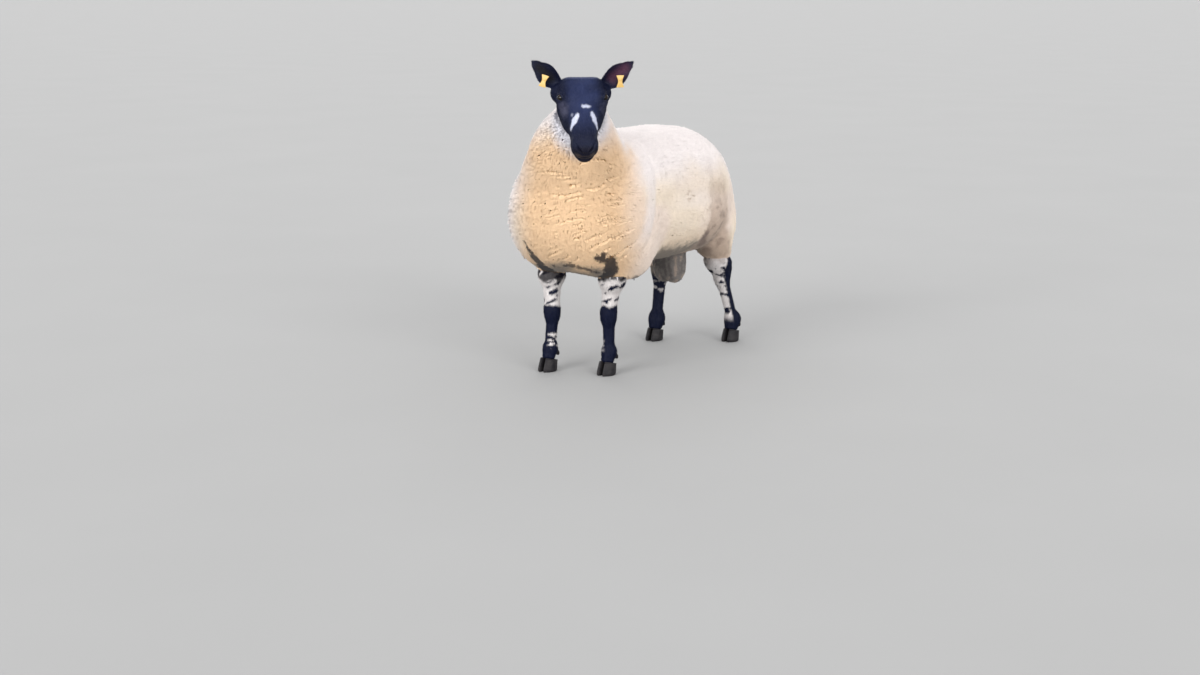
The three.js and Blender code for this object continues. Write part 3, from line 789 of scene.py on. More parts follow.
def woolColour(p, n):
    h = toHead(p)
    y, z = p[:, 1], p[:, 2]
    wander = lumps(p, 95, 3)
    colour = allOver(p, "cream")
    colour = blended(colour, "blush", ease(-0.3, 0.4, lumps(p, 130, 4)) * 0.5)
    # golden grease over the breast, fading round the shoulders and up the neck
    width = acrossChest(p) + 14 * wander
    gold = ease(255, 125, width) * ease(-200, -105, width) * ease(-0.25, 0.3, n @ unit([0.5, -0.86, -0.12]))
    gold = gold * (1 - ease(680, 800, z + 16 * wander)) * (1 - ease(40, 210, y))
    low = ease(0.0, 0.7, -n[:, 2] + 0.1 * wander) * 0.3 * ease(140, 260, y)
    # painted light: wool that faces up is painted whiter, as if lit from above
    colour = blended(colour, "snow", ease(0.0, 0.6, n[:, 2] + 0.12 * wander) * 0.95 * (1 - 0.8 * gold))
    # painted rim light: wool that faces the animal's right is painted paler
    colour = blended(colour, "snow", ease(0.3, 0.85, -n[:, 0]) * 0.8)
    colour = blended(colour, "gold", np.maximum(gold, low))
    # a pale band runs down just ahead of the fold behind the shoulder
    band = ease(48, 12, pathDistance(p, shoulderFold(1, -34))[0]) * ease(380, 470, z)
    colour = blended(colour, "snow", band * 0.6)
    # whiter wool round the jaw and cheeks
    jaw = ease(58, 10, headMass(p) + 8 * wander) * ease(-40, 20, h[:, 1])
    colour = blended(colour, "collar", jaw * 0.95)
    # painted shade with some dirt where the wool faces down, low on the body and behind the forelegs; stained
    # hind quarters
    facingDown = -n[:, 2] + 0.15 * lumps(p, 40, 5)
    under = ease(0.6, 0.92, facingDown) * ease(390, 345, z + 14 * lumps(p, 30, 6))
    behind = ease(0.3, 0.8, facingDown + 0.15 * lumps(p, 13, 18)) * ease(398, 356, z + 14 * lumps(p, 17, 6))
    colour = blended(colour, "bellyDirtAndShade", np.maximum(under, behind * ease(110, 170, y)))
    # the back of the thigh is stained pinkish brown, darkest low down; the dark line along its front edge is
    # painted shade with soil
    thigh = ease(420, 460, y + 12 * lumps(p, 24, 7) + 6 * lumps(p, 9, 18)) * ease(0.0, 0.4, np.abs(n[:, 0]))
    thigh = thigh * ease(592, 536, y - 0.4 * (520 - z) + 8 * lumps(p, 20, 7))
    height = ease(680, 380, z + 25 * lumps(p, 44, 12))
    colour = blended(colour, "stain", thigh * height * 0.85)
    blotch = ease(0.05, 0.6, lumps(p, 30, 8) + 0.6 * lumps(p, 12, 10))
    colour = blended(colour, "soilAndShade", blotch * thigh * ease(0.3, 0.9, height) * 0.42)
    # painted shade with soil in the crease along the front edge of each thigh
    for s in (1, -1):
        edge = [(s * 178, 456, 398), (s * 158, 480, 361), (s * 135, 530, 330), (s * 111, 573, 307)]
        front = pathDistance(p, edge)[0] + 5 * lumps(p, 14, 15)
        colour = blended(colour, "soilAndShade", ease(27, 9, front) * 0.85)
    low = ease(345, 290, z) * ease(490, 560, y)
    colour = blended(colour, "stain", low * 0.6)
    smudge = ease(34, 8, size((p - [210, 330, 532]) * [0.4, 0.8, 1.3]))
    smudge = smudge * ease(-0.1, 0.4, lumps(p, [9, 11, 7], 9))
    colour = blended(colour, "stain", smudge * 0.75)
    # dark hair shows where the legs leave the chest; the last mark is a painted shadow line along the lower
    # edge of the breast
    ragged = 10 * lumps(p, 15, 11) + 6 * lumps(p, 7, 13)
    for path, radius, end, strength in darkHairAndShadowMarks:
        far, where = pathDistance(p, path)
        radius = radius + (end - radius) * where
        colour = blended(colour, "darkHairAndShade", ease(radius + 5, radius - 5, far + ragged) * strength)
    # painted shade in the wool just behind and below the jaw: a dark streak and a spot
    jawShadeStreak = pathDistance(h, [(-73, 62, -128), (-72, 98, -112)])[0]
    colour = blended(colour, "brown", ease(9, 3, jawShadeStreak + 0.3 * ragged) * 0.75)
    spot = size(h - [-42, 190, -128])
    colour = blended(colour, "brown", ease(15, 6, spot + 0.3 * ragged) * 0.75)
    purse = ease(16, 2, purseMass(p)) * ease(400, 345, z)
    colour = blended(colour, "purse", purse)
    streaky = lumps(p, [9, 9, 34], 16) + 0.5 * lumps(p, 7, 17)
    colour = blended(colour, "darkHairAndShade", purse * ease(0.0, 0.7, streaky) * 0.35)
    colour = blended(colour, "stain", purse * ease(-0.1, -0.7, streaky) * 0.45)
    tipBlack = ease(20, 12, size(p - sheathTip))
    return blended(colour, "black", tipBlack)


darkHairAndShadowMarks = [
    ([(-67, -156, 424), (-62, -139, 393), (-52, -118, 363), (-60, -64, 330), (-84, -28, 296)], 5, 36, 0.92),
    ([(150, -74, 384), (168, -38, 372), (150, -16, 348), (126, 4, 318)], 15, 28, 0.92),
    # a painted shadow line along the lower edge of the breast
    ([(4, -106, 349), (60, -106, 356), (108, -61, 339), (122, -30, 328)], 4, 8, 0.75),
]


def shoulderFold(side, ahead=0):
    line = [
        (62, 175, 727), (150, 172, 688), (189, 166, 629), (207, 152, 564), (211, 141, 498), (211, 117, 433),
        (204, 84, 392),
    ]
    return [(side * x, y + ahead, z) for x, y, z in line]


def legColour(p, name):
    x0, y0 = legBuild[name]["foot"]
    z = p[:, 2]
    colour = allOver(p, "black")
    bars = lumps(p, [24, 24, 7], 21) + 0.45 * lumps(p, [9, 9, 4], 22)
    if name.startswith("fore"):
        low, high = (207, 284) if name == "fore_right" else (217, 300)
        top = ease(low - 4, low + 4, z + 6 * lumps(p, 12, 24))
        slanted = lumps(p @ np.array([[1, 0, -0.35], [0, 1, -0.25], [0, 0, 1]]), [30, 30, 8], 21)
        white = top * ease(-0.38, -0.24, slanted + 0.3 * bars + 0.3 * ease(high - 30, high - 60, z))
        inner = (p[:, 0] - x0) * (1 if name == "fore_right" else -1)
        flecks = lumps(p, [16, 16, 4.5], 34)
        below = ease(-2, 8, inner) * ease(64, 74, z) * ease(132, 124, z) * ease(0.1, 0.25, flecks)
        white = np.maximum(white, below * (0.95 if name == "fore_right" else 0.4))
        colour = blended(colour, "legWhite", white)
        # dark again above, with pale streaks
        dark = ease(high - 6, high + 8, z + 12 * lumps(p, 18, 25))
        return blended(colour, "darkHairAndShade", dark * ease(0.6, 0.4, lumps(p, [10, 10, 26], 23)) * 0.9)
    if name == "hind_right":
        dash = ease(150, 160, z) * ease(0.22, 0.38, lumps(p, [26, 26, 5], 26)) * ease(225, 195, z)
        colour = blended(colour, "legWhite", dash * 0.6)
        # painted shade with some dirt: the top of the far hind leg, under the belly, gets the dark belly
        # colour
        return blended(colour, "bellyDirtAndShade", ease(212, 240, z) * 0.9)
    # the left hind is speckled in front, with a black stripe down the outside
    share = np.clip((z - 72) / 160, 0, 1)
    hockX, hockY = legBuild[name]["hock"]
    back = (p[:, 0] - x0 - hockX * share) * 0.8 + (p[:, 1] - y0 - hockY * share) * 0.6
    bars = lumps(p, [30, 30, 7], 27) + 0.4 * lumps(p, [8, 8, 4], 28)
    speckled = ease(8, 1, back + 5 * bars - 8 * ease(250, 275, z))
    speckled = speckled * ease(-0.24, -0.1, bars + 0.3 * ease(240, 290, z)) * ease(66, 90, z)
    colour = blended(colour, "legWhite", speckled)
    spots = np.minimum(size(p - [136, 680, 104]), size(p - [139, 682, 82]))
    colour = blended(colour, "white", ease(11, 7, spots))
    woolly = ease(262, 290, z + 12 * lumps(p, 14, 29)) * ease(14, 0, back)
    return blended(colour, "soilAndShade", woolly * 0.45)


faceMarks = {
    "bar": ([(-1, 118, 13), (8, 117, 12), (18, 116, 10)], (4.6, 5.4, 4.0), 0.85),
    "leftStrip": ([(23, 137, 5), (28, 148, 1), (33, 158, -4), (40, 172, -19)], (6.0, 11.0, 6.0), 1.0),
    "rightStrip": ([(-18, 141, 9), (-24, 151, 5), (-31, 162, -2), (-38, 175, -17)], (5.0, 10.5, 4.5), 1.0),
}


def faceColour(p):
    h = toHead(p)
    side, down, out = h.T
    colour = allOver(p, "black")
    # painted sheen: the flat planes of brow and bridge are painted greyer and bluer than the cheeks, as the
    # sky's reflection on black hair
    plane = ease(-34, -8, out) * ease(58, 26, np.abs(side)) * (1 - ease(150, 215, down))
    colour = blended(colour, "sheen", plane * (0.75 + 0.25 * lumps(p, 26, 30)))
    wobble = 1.5 * lumps(p, 7, 31)
    for patch, wide, strength in (([-57, 112, -18], 27, 0.9), ([60, 106, -16], 22, 0.4)):
        brown = ease(wide, 8, size((h - patch) * [1.1, 0.8, 0.8]) + 3 * wobble)
        colour = blended(colour, "brown", brown * strength)
    for path, radii, strength in faceMarks.values():
        far, where = pathDistance(h, path)
        radius = np.interp(where, [0, 0.5, 1], radii)
        colour = blended(colour, "white", ease(1.4, -1.4, far + wobble - radius) * strength)
    spot = size(h - [-33, 137, -3]) + wobble
    colour = blended(colour, "white", ease(6, 3, spot) * 0.35)
    # a fringe of hair along the top edge of the brow, painted lighter and bluer as sheen
    crown = ease(16, 5, np.abs(down - 6) + wobble) * ease(60, 45, np.abs(side)) * ease(-22, -8, out)
    colour = blended(colour, "crown", crown * 0.7)
    return blended(colour, "nose", ease(chin - 30, chin - 14, down))


def earColour(p, n, side):
    # dusky pink shows in the middle of the hollow, inside a wide black rim
    base, axis, hollow, across = earFrame(side)
    q = p - base
    t = q @ axis / earBuild["length"]
    wide = q @ across
    inside = ease(0.1, 0.5, n @ hollow) * bell(wide, 17) * ease(0.1, 0.35, t) * ease(0.98, 0.72, t)
    colour = allOver(p, "black")
    return blended(colour, "earInside" if side > 0 else "earDark", inside)


def partOf(p, share):
    # 0 wool, 1 face hair, 2 ear, 3..6 a leg
    part = np.zeros(len(p), int)
    reach = [headMass(p)] + [legMass[name](p) for name in legNames]
    deep = woolField(p)
    nearest = np.argmin(reach, axis=0)
    hairy = deep > -3.5 + 1.5 * lumps(p, 9, 33)
    part[hairy] = np.where(nearest[hairy] == 0, 1, nearest[hairy] + 2)
    part[share != 0] = 2
    return part, -deep


def coatColourAt(p, n, share, part):
    colour = woolColour(p, n)
    face = faceColour(p)
    for k, name in enumerate(legNames):
        on = part == 3 + k
        if on.any():
            colour[on] = legColour(p[on], name)
    colour[part == 1] = face[part == 1]
    for side in (1, -1):
        on = (part == 2) & (share == side)
        if on.any():
            colour[on] = earColour(p[on], n[on], side)
    return colour


def store(mesh, name, kind, values):
    # a number, a direction or a colour on every point of the mesh
    key = {"FLOAT": "value", "FLOAT_VECTOR": "vector", "FLOAT_COLOR": "color"}[kind]
    if kind == "FLOAT_COLOR":
        values = np.hstack([values, np.ones((len(values), 1))])
    flat = np.asarray(values, np.float32).ravel()
    mesh.attributes.new(name, kind, "POINT").data.foreach_set(key, flat)


skin = newPiece("skin", skinMesh, "fleece", *fleshNodes, "ear_left", "ear_right")
skinPlaces = placesOf(skinMesh)
skinNormals = readAll(skinMesh.vertex_normals, "vector", 3).astype(float)
skinShare = earShare(skinPlaces)
skinPart, skinDeep = partOf(skinPlaces, skinShare)
store(skinMesh, "coatColour", "FLOAT_COLOR", coatColourAt(skinPlaces, skinNormals, skinShare, skinPart))
skinHead = toHead(skinPlaces)
noseEnd = ease(chin - 19, chin - 9, skinHead[:, 1])
bare = noseEnd * ease(8, 2, headMass(skinPlaces)) * ease(-42, -34, skinHead[:, 2])
store(skinMesh, "bare", "FLOAT", bare)
store(skinMesh, "wool", "FLOAT", skinPart == 0)

bpy.context.view_layer.objects.active = skin
skin.select_set(True)
bpy.ops.object.mode_set(mode="EDIT")
bpy.ops.mesh.select_all(action="SELECT")
bpy.ops.uv.smart_project(angle_limit=1.15, island_margin=0.004)
bpy.ops.object.mode_set(mode="OBJECT")
skin.select_set(False)
skinMesh = skin.data
skinMesh.uv_layers[0].name = "OFBake"
print("skin coloured and unwrapped", len(skinMesh.polygons), "faces")

# coat
random = np.random.default_rng(14)
skinMesh.calc_loop_triangles()
triangles = readAll(skinMesh.loop_triangles, "vertices", 3, np.int32)
corners = readAll(skinMesh.loop_triangles, "loops", 3, np.int32)
skinMap = readAll(skinMesh.uv_layers["OFBake"].data, "uv", 2)
triangleArea = size(np.cross(
    skinPlaces[triangles[:, 1]] - skinPlaces[triangles[:, 0]],
    skinPlaces[triangles[:, 2]] - skinPlaces[triangles[:, 0]],
)) / 2


def sow(weight, spacing):
    # evenly spread roots over the skin, `spacing` mm apart where the weight is 1
    want = triangleArea * weight / spacing**2
    count = np.floor(want + random.random(len(want))).astype(int)
    which = np.repeat(np.arange(len(count)), count)
    order = np.arange(len(which)) - np.repeat(np.cumsum(count) - count, count)
    start = random.random((len(count), 2))[which]
    u = (start[:, 0] + order * 0.7548777) % 1
    v = (start[:, 1] + order * 0.5698403) % 1
    over = u + v > 1
    u, v = np.where(over, 1 - u, u), np.where(over, 1 - v, v)
    share = np.stack([1 - u - v, u, v], 1)
    roots = (skinPlaces[triangles[which]] * share[:, :, None]).sum(1)
    ups = unit((skinNormals[triangles[which]] * share[:, :, None]).sum(1))
    maps = (skinMap[corners[which]] * share[:, :, None]).sum(1)
    ear = skinShare[triangles[which, 0]]
    return roots, ups, maps, ear, *partOf(roots, ear)


def tuftMesh(name, roots, ups, tips, widths, thicks, maps, colours, shadeUps, soften, blunt=0, curl=0):
    # each tuft is a closed sliver: two low corners, a ridge, and one point or a blunt edge at the tip
    n = len(roots)
    ways = unit(tips - roots)
    sides = unit(np.cross(ups, ways) + 1e-9)
    ridges = np.cross(ways, sides)
    corners = 5 if blunt else 4
    points = np.empty((n, corners, 3))
    points[:, 0] = roots + sides * widths[:, None] / 2
    points[:, 1] = roots - sides * widths[:, None] / 2
    points[:, 2] = roots + ridges * thicks[:, None]
    points[:, 3] = tips
    faces = [[0, 1, 2], [0, 2, 3], [2, 1, 3], [1, 0, 3]]
    patch = [[-1, -1], [1, -1], [0, 1], [0, -0.2]]
    rise = [0.0, 0.0, 0.1, 1.0]
    if blunt:
        edge = sides + (ridges + ways * 0.5) * random.normal(0, curl, n)[:, None]
        edge = unit(edge) * (widths * blunt / 2 * random.uniform(0.7, 1.2, n))[:, None]
        points[:, 2] += (tips - roots) * 0.55
        points[:, 3] = tips + edge
        points[:, 4] = tips - edge
        faces = [[0, 1, 2], [3, 0, 2], [1, 4, 2], [4, 3, 2], [0, 3, 4], [0, 4, 1]]
        patch = [[-1, -1], [1, -1], [0, 0], [-1, 1], [1, 1]]
        rise = [0.0, 0.0, 0.6, 1.0, 1.0]
    count = len(faces)
    loops = (np.arange(n)[:, None, None] * corners + np.array(faces)).reshape(-1)
    mesh = bpy.data.meshes.new(name)
    mesh.vertices.add(n * corners)
    mesh.vertices.foreach_set("co", toRow(points.reshape(-1, 3)).astype(np.float32).ravel())
    mesh.loops.add(n * count * 3)
    mesh.loops.foreach_set("vertex_index", loops.astype(np.int32))
    mesh.polygons.add(n * count)
    mesh.polygons.foreach_set("loop_start", np.arange(0, n * count * 3, 3, dtype=np.int32))
    mesh.polygons.foreach_set("use_smooth", np.ones(n * count, bool))
    uv = np.clip(maps, 0.002, 0.998)[:, None, :] + 0.0015 * np.array(patch)
    layer = mesh.uv_layers.new(name="OFBake")
    layer.data.foreach_set("uv", uv.reshape(-1, 2)[loops].astype(np.float32).ravel())
    store(mesh, "coatColour", "FLOAT_COLOR", np.repeat(colours, corners, axis=0))
    store(mesh, "rise", "FLOAT", np.tile(rise, n))
    mesh.update(calc_edges=True)
    own = points - points.mean(1, keepdims=True)
    lean = unit(shadeUps[:, None, :] * soften + unit(own) * (1 - soften))
    store(mesh, "custom_normal", "FLOAT_VECTOR", lean)
    mesh.validate()
    return mesh


def lieOf(p, n, part, ear):
    # which way the coat lies: back and down on the trunk, up the face, down the legs, out along the ears
    h = toHead(p)
    way = np.tile([0.0, 0.75, -0.55], (len(p), 1))
    chest = ease(60, -90, p[:, 1])[:, None]
    way = way * (1 - chest) + np.array([0.0, 0.1, -1.0]) * chest
    legs = part >= 3
    way[legs] = [0, 0.15, -1]
    face = part == 1
    way[face] = -headDown * 0.8 - headOut * 0.35 + headSide * np.sign(h[face, :1]) * 0.35
    way[face & (h[:, 1] > 215)] = -headDown
    for side in (1, -1):
        way[(part == 2) & (ear == side)] = earFrame(side)[1]
    way = way - (way * n).sum(1, keepdims=True) * n
    return unit(way)


# the tufts are 6 mm wide at the root, coarser than real staples, so that they stay few enough to draw
fleeceBuild = {
    "spacing": 2.6, "width": 6.2, "thick": 1.9, "blunt": 0.5, "curl": 0.45, "lean": 0.7, "stray": 0.24,
    "lock": 11.0, "gather": 0.08, "dome": 0.7, "foldDeep": 5, "crackDeep": 7.0, "crackWide": 2.6,
    "fluff": 5.0, "proud": 0.05, "proudRight": 0.12, "tassel": (16, 46),
}


def fleeceDip(p, n):
    # how far the trimmed surface dips below the outline: folds, cracks and soft unevenness
    dip = 2.2 * (1 + lumps(p, 60, 41)) * 0.5 + 1.6 * (1 + lumps(p, 21, 42)) * 0.5
    for s in (1, -1):
        # a soft fold from the withers down behind the shoulder, and one in front of the haunch
        far = pathDistance(p, shoulderFold(s))[0]
        dip += fleeceBuild["foldDeep"] * bell(far, 15) * 0.8
        haunch = [(s * 150, 512, 700), (s * 196, 482, 600), (s * 202, 470, 480), (s * 172, 480, 392)]
        far = pathDistance(p, haunch)[0]
        dip += fleeceBuild["foldDeep"] * bell(far, 22) * 0.7
    # wrinkles across the chest where the fleece opens over the bend of the neck,
    # near level in the middle and rising toward the animal's left lower down
    warp = p + 8 * np.stack([lumps(p, 40, 44), lumps(p, 40, 45), lumps(p, 40, 46)], 1)
    tilt = np.radians(5 + 27 * ease(590, 450, p[:, 2]))
    across = warp @ np.array([0.84, 0.54, 0])
    up = warp[:, 2] * np.cos(tilt) - across * np.sin(tilt)
    along = across * np.cos(tilt) + warp[:, 2] * np.sin(tilt)
    wave, above = (
        lumps(np.stack([along, up + lift, warp[:, 1] * 0.2], 1), [84, 15, 150], 47) for lift in (0, 2.0)
    )
    steep = np.abs(above - wave) / 2.0
    far = np.abs(wave) / np.maximum(steep, 0.012)
    width = acrossChest(p)
    chest = ease(0.4, 0.75, n @ unit([0.45, -0.89, -0.05]))
    chest = chest * ease(715, 640, p[:, 2]) * ease(360, 400, p[:, 2])
    chest = chest * ease(-110, -40, width) * ease(215, 150, width)
    opened = ease(-0.3, 0.05, lumps(p, [38, 38, 24], 48)) * ease(0.014, 0.032, steep) * chest
    crack = bell(far, fleeceBuild["crackWide"]) * opened
    pillow = bell(far, 8.0) * opened
    # the wool on either side leans away from the crack
    upward = np.cos(tilt)[:, None] * np.array([0, 0, 1.0]) - np.sin(tilt)[:, None] * np.array([0.84, 0.54, 0])
    push = np.sign(wave * (above - wave)) * fleeceBuild["crackWide"] * bell(far, 4.5) * opened
    return dip + fleeceBuild["crackDeep"] * (0.7 * crack + 0.3 * pillow), crack, upward * push[:, None]


def reliefTilt(p, n, dip):
    # how the trimmed surface leans where it dips, for the shading of the tufts
    lean = np.zeros_like(p)
    for axis in np.eye(3):
        lean += (fleeceDip(p + axis * 1.5, n)[0] - dip)[:, None] / 1.5 * axis
    lean -= (lean * n).sum(1, keepdims=True) * n
    return lean / np.maximum(size(lean) / 0.9, 1)[:, None]


def fleece():
    woolHere = (skinPart[triangles] == 0).mean(1)
    deepHere = skinDeep[triangles].mean(1)
    sown = sow(woolHere * ease(1.5, 4.5, deepHere), fleeceBuild["spacing"])
    keep = (sown[4] == 0) & (sown[5] > 2.5)
    roots, ups, maps, ear, part, deep = (row[keep] for row in sown)
    n = len(roots)
    lie = lieOf(roots, ups, part, ear)
    loose = random.normal(0, fleeceBuild["stray"], (n, 3))
    loose -= (loose * ups).sum(1, keepdims=True) * ups
    way = unit(ups + lie * fleeceBuild["lean"] * np.clip(deep / 12, 0.7, 1.0)[:, None] + loose)
    rise = np.maximum((way * ups).sum(1), 0.35)
    outline = roots + way * (deep / rise)[:, None]
    dip, crack, apart = fleeceDip(outline, ups)
    shadeUps = unit(ups + reliefTilt(outline, ups, dip) * 0.8)
    centre, far = nearestTuftCentre(outline, fleeceBuild["lock"], 5)
    dip += fleeceBuild["dome"] * np.clip(far, 0, 1) ** 2
    # a few stand proud of the trimmed surface, more and longer on the animal's right shoulder
    fluffy = ease(-110, -170, outline[:, 0]) * ease(300, 60, outline[:, 1])
    proud = random.random(n) < fleeceBuild["proud"] + fleeceBuild["proudRight"] * fluffy
    dip -= proud * random.uniform(0.2, 1, n) * fleeceBuild["fluff"] * (0.5 + fluffy)
    reach = np.maximum(deep - dip, 2.0) * random.uniform(0.95, 1.03, n)
    tips = roots + way * (reach / rise)[:, None] + apart
    pull = centre + lie * (reach * 0.5)[:, None] - tips
    pull -= (pull * ups).sum(1, keepdims=True) * ups
    tips += pull * fleeceBuild["gather"] * ease(0, 8, deep)[:, None]
    over = woolField(tips) + dip
    tips -= ups * np.clip(over, -4, 30)[:, None] * 0.9
    # a tassel of long dark hair hangs from the end of the sheath
    tassel = ease(24, 12, size(outline - sheathTip)) * random.uniform(*fleeceBuild["tassel"], n)
    tips += tassel[:, None] * np.array([-0.12, -0.12, -1])
    colours = coatColourAt(outline, ups, ear, part) * random.uniform(0.97, 1.03, (n, 1))
    # painted shade in the chest's cracks: the tufts there are darkened to brown
    colours = blended(colours, "crack", ease(0.15, 0.6, crack) * 0.95)
    widths = fleeceBuild["width"] * random.uniform(0.75, 1.2, n) * (0.45 + 0.55 * ease(2, 12, deep))
    thicks = fleeceBuild["thick"] * random.uniform(0.8, 1.2, n) * (0.5 + 0.5 * ease(2, 12, deep))
    # pieces by region, each under the limit
    x, y, z = roots.T
    regions = {"Neck": (y < 250) & (z >= 640), "Chest": (y < 30) & (z < 640)}
    for name, zone in (
        ("Shoulder", (y >= 30) & (y < 250) & (z < 640)),
        ("Barrel", (y >= 250) & (y < 440)),
        ("Quarter", y >= 440),
    ):
        regions[name + "Left"] = zone & (x >= 0)
        regions[name + "Right"] = zone & (x < 0)
    pieces = []
    for name, mine in regions.items():
        rows = [row[mine] for row in (roots - ups, ups, tips, widths, thicks, maps, colours, shadeUps)]
        mesh = tuftMesh("fleece" + name, *rows, 0.9, fleeceBuild["blunt"], fleeceBuild["curl"])
        pieces.append(newPiece(mesh.name, mesh, "fleece"))
        print(mesh.name, mine.sum() * 6, "triangles")
    return pieces


# the blades are 1.5 mm wide, coarser than real hair, so that the nap shows
hairBuild = {"spacing": 2.3, "width": 1.5, "thick": 0.45, "length": 7.0, "lift": 0.2}


def hair():
    hairy = (skinPart[triangles] != 0).mean(1)
    naked = bare[triangles].mean(1)
    roots, ups, maps, ear, part, deep = sow(hairy * (1 - naked), hairBuild["spacing"])
    keep = (part != 0) | (deep < 3.0)
    part = np.where(part == 0, 1, part)
    h = toHead(roots)
    for side in (1, -1):
        centre, gaze, toNose, upward = eyeFrame(side)
        local = roots - centre
        edge = lidEdge(local @ toNose, local @ upward)
        keep &= ~((size(local) < 26) & (local @ gaze > 0) & (edge < 2.0))
        keep &= pathDistance(h, nostrilLine(side))[0] > 4.5
    roots, ups, maps, ear, part, deep = (a[keep] for a in (roots, ups, maps, ear, part, deep))
    n = len(roots)
    h = toHead(roots)
    lie = lieOf(roots, ups, part, ear)
    short = np.where(part == 1, 0.75 - 0.35 * ease(190, 235, h[:, 1]), 1.0)
    short = np.where(part == 2, 0.8, short)
    lengths = hairBuild["length"] * short * random.uniform(0.75, 1.25, n)
    loose = random.normal(0, 0.16, (n, 3))
    way = unit(lie + ups * hairBuild["lift"] + loose * (1 - 0.4 * (part == 1))[:, None])
    tips = roots + way * lengths[:, None]
    colours = coatColourAt(roots, ups, ear, part) * random.uniform(0.85, 1.15, (n, 1))
    widths = hairBuild["width"] * random.uniform(0.8, 1.2, n) * np.sqrt(short)
    thicks = hairBuild["thick"] * np.ones(n)
    pieces = []
    for name, mine, slotName in (
        ("hairFace", part == 1, "face_hair"),
        ("hairEars", part == 2, "ear_skin"),
        ("hairForeLegs", (part == 3) | (part == 4), "leg_hair"),
        ("hairHindLegs", part >= 5, "leg_hair"),
    ):
        rows = [row[mine] for row in (roots - ups * 0.3, ups, tips, widths, thicks, maps, colours, ups)]
        mesh = tuftMesh(name, *rows, 0.8)
        pieces.append(newPiece(name, mesh, slotName))
        print(name, mine.sum() * 4, "triangles")
    return pieces


fleecePieces = fleece()
hairPieces = hair()

# hooves and dewclaws


clawLevels = [
    # height, breadth and how far the ring lies back
    (0, 0.9, 0), (1.2, 0.95, 0), (4, 1, 0), (12, 0.985, 1), (20, 0.96, 3), (28, 0.92, 5), (36, 0.89, 7),
    (44, 0.86, 9), (52, 0.83, 11),
]


def clawRings(foot, side):
    rings = []
    for z, grow, back in clawLevels:
        ring = []
        for i in range(clawBuild["points"]):
            a = 2 * math.pi * (i + 0.5) / clawBuild["points"]
            s, c = math.sin(a), math.cos(a)
            narrowing = 1 - 0.42 * s * s if s < 0 else 1 - 0.1 * s * s
            bow = 0.74 * c if c > 0 else 0.26 * c
            reach = clawBuild["cleft"] / 2 + clawBuild["width"] * (0.26 + bow * narrowing * grow)
            ring.append([foot[0] + side * reach, foot[1] - 10 + back + clawBuild["depth"] / 2 * s * grow, z])
        rings.append(ring)
    # the top follows the slanted coronet
    for ring in rings:
        for q in ring:
            limit = (coronetLevel(foot, 0) - coronetNormal[1] * q[1]) / coronetNormal[2]
            q[2] = min(q[2], limit) if q[2] > 20 else q[2]
    return rings


def turns(count):
    return np.linspace(0, 2 * math.pi, count, endpoint=False)


def clawLoft(foot, side):
    bm = loft(clawRings(foot, side))
    bmesh.ops.remove_doubles(bm, verts=bm.verts, dist=2e-5)
    bmesh.ops.dissolve_degenerate(bm, dist=2e-5, edges=bm.edges)
    return bm


def dewclawLoft(foot, side):
    high = np.array([foot[0] + side * 11, foot[1] + 22.0, 60.0])
    low = np.array([foot[0] + side * 12, foot[1] + 31.0, 46.0])
    axis = unit(low - high)
    across = unit(np.cross(axis, [0, 1, 0]))
    other = np.cross(axis, across)
    rings = []
    for t, r in ((-0.3, 4), (0, 7.4), (0.3, 8), (0.6, 7.3), (0.85, 5.6), (1.0, 3.6)):
        place = high + (low - high) * t
        rings.append([place + r * (across * math.cos(a) + other * 0.85 * math.sin(a)) for a in turns(16)])
    return loft(rings, lastPoint=high + (low - high) * 1.16)


hoofPieces = []
for name in legNames:
    foot = legBuild[name]["foot"]
    for side, word in ((1, "left"), (-1, "right")):
        for kind, node, made in (("hoof", "claw", clawLoft), ("dewhorn", "dewclaw", dewclawLoft)):
            mesh = meshFrom(made(foot, side), f"{kind}_{name}_{word}")
            hoofPieces.append(newPiece(mesh.name, mesh, "hoof_horn", f"{node}_{name}_{word}"))
print("hooves made")

# eyes
eyeBuild = {"radius": faceBuild["ball"], "cornea": 8.5, "bulge": 1.3, "segments": 48}


def eyeball(side, word):
    centre, gaze = eyeFrame(side)[:2]
    level = unit(np.cross([0, 0, 1.0], gaze))
    above = np.cross(gaze, level)
    bm = bmesh.new()
    around = eyeBuild["segments"]
    bmesh.ops.create_uvsphere(bm, u_segments=around, v_segments=around // 2, radius=eyeBuild["radius"])
    local = np.array([v.co[:] for v in bm.verts])
    off = np.hypot(local[:, 0], local[:, 1])
    local[:, 2] += eyeBuild["bulge"] * ease(eyeBuild["cornea"] + 1.5, 2, off) * (local[:, 2] > 0)
    for v, q in zip(bm.verts, local):
        v.co = rowPoint(centre + level * q[0] + above * q[1] + gaze * q[2])
    mesh = meshFrom(bm, "eyeball_" + word)
    store(mesh, "gaze", "FLOAT_VECTOR", local / 1000)
    return newPiece(mesh.name, mesh, "eye", "eye_" + word)


eyePieces = [eyeball(1, "left"), eyeball(-1, "right")]
print("eyes made")

# ear tags
tagBuild = {
    "width": 23, "height": 35, "thick": 2.0, "waist": 0.54,
    "stem": 3.0, "stud": 9.0, "reach": 24, "front": 14,
    "left": {"at": 0.54, "drop": 23, "slant": 0},
    "right": {"at": 0.44, "drop": 19, "slant": 16},
}


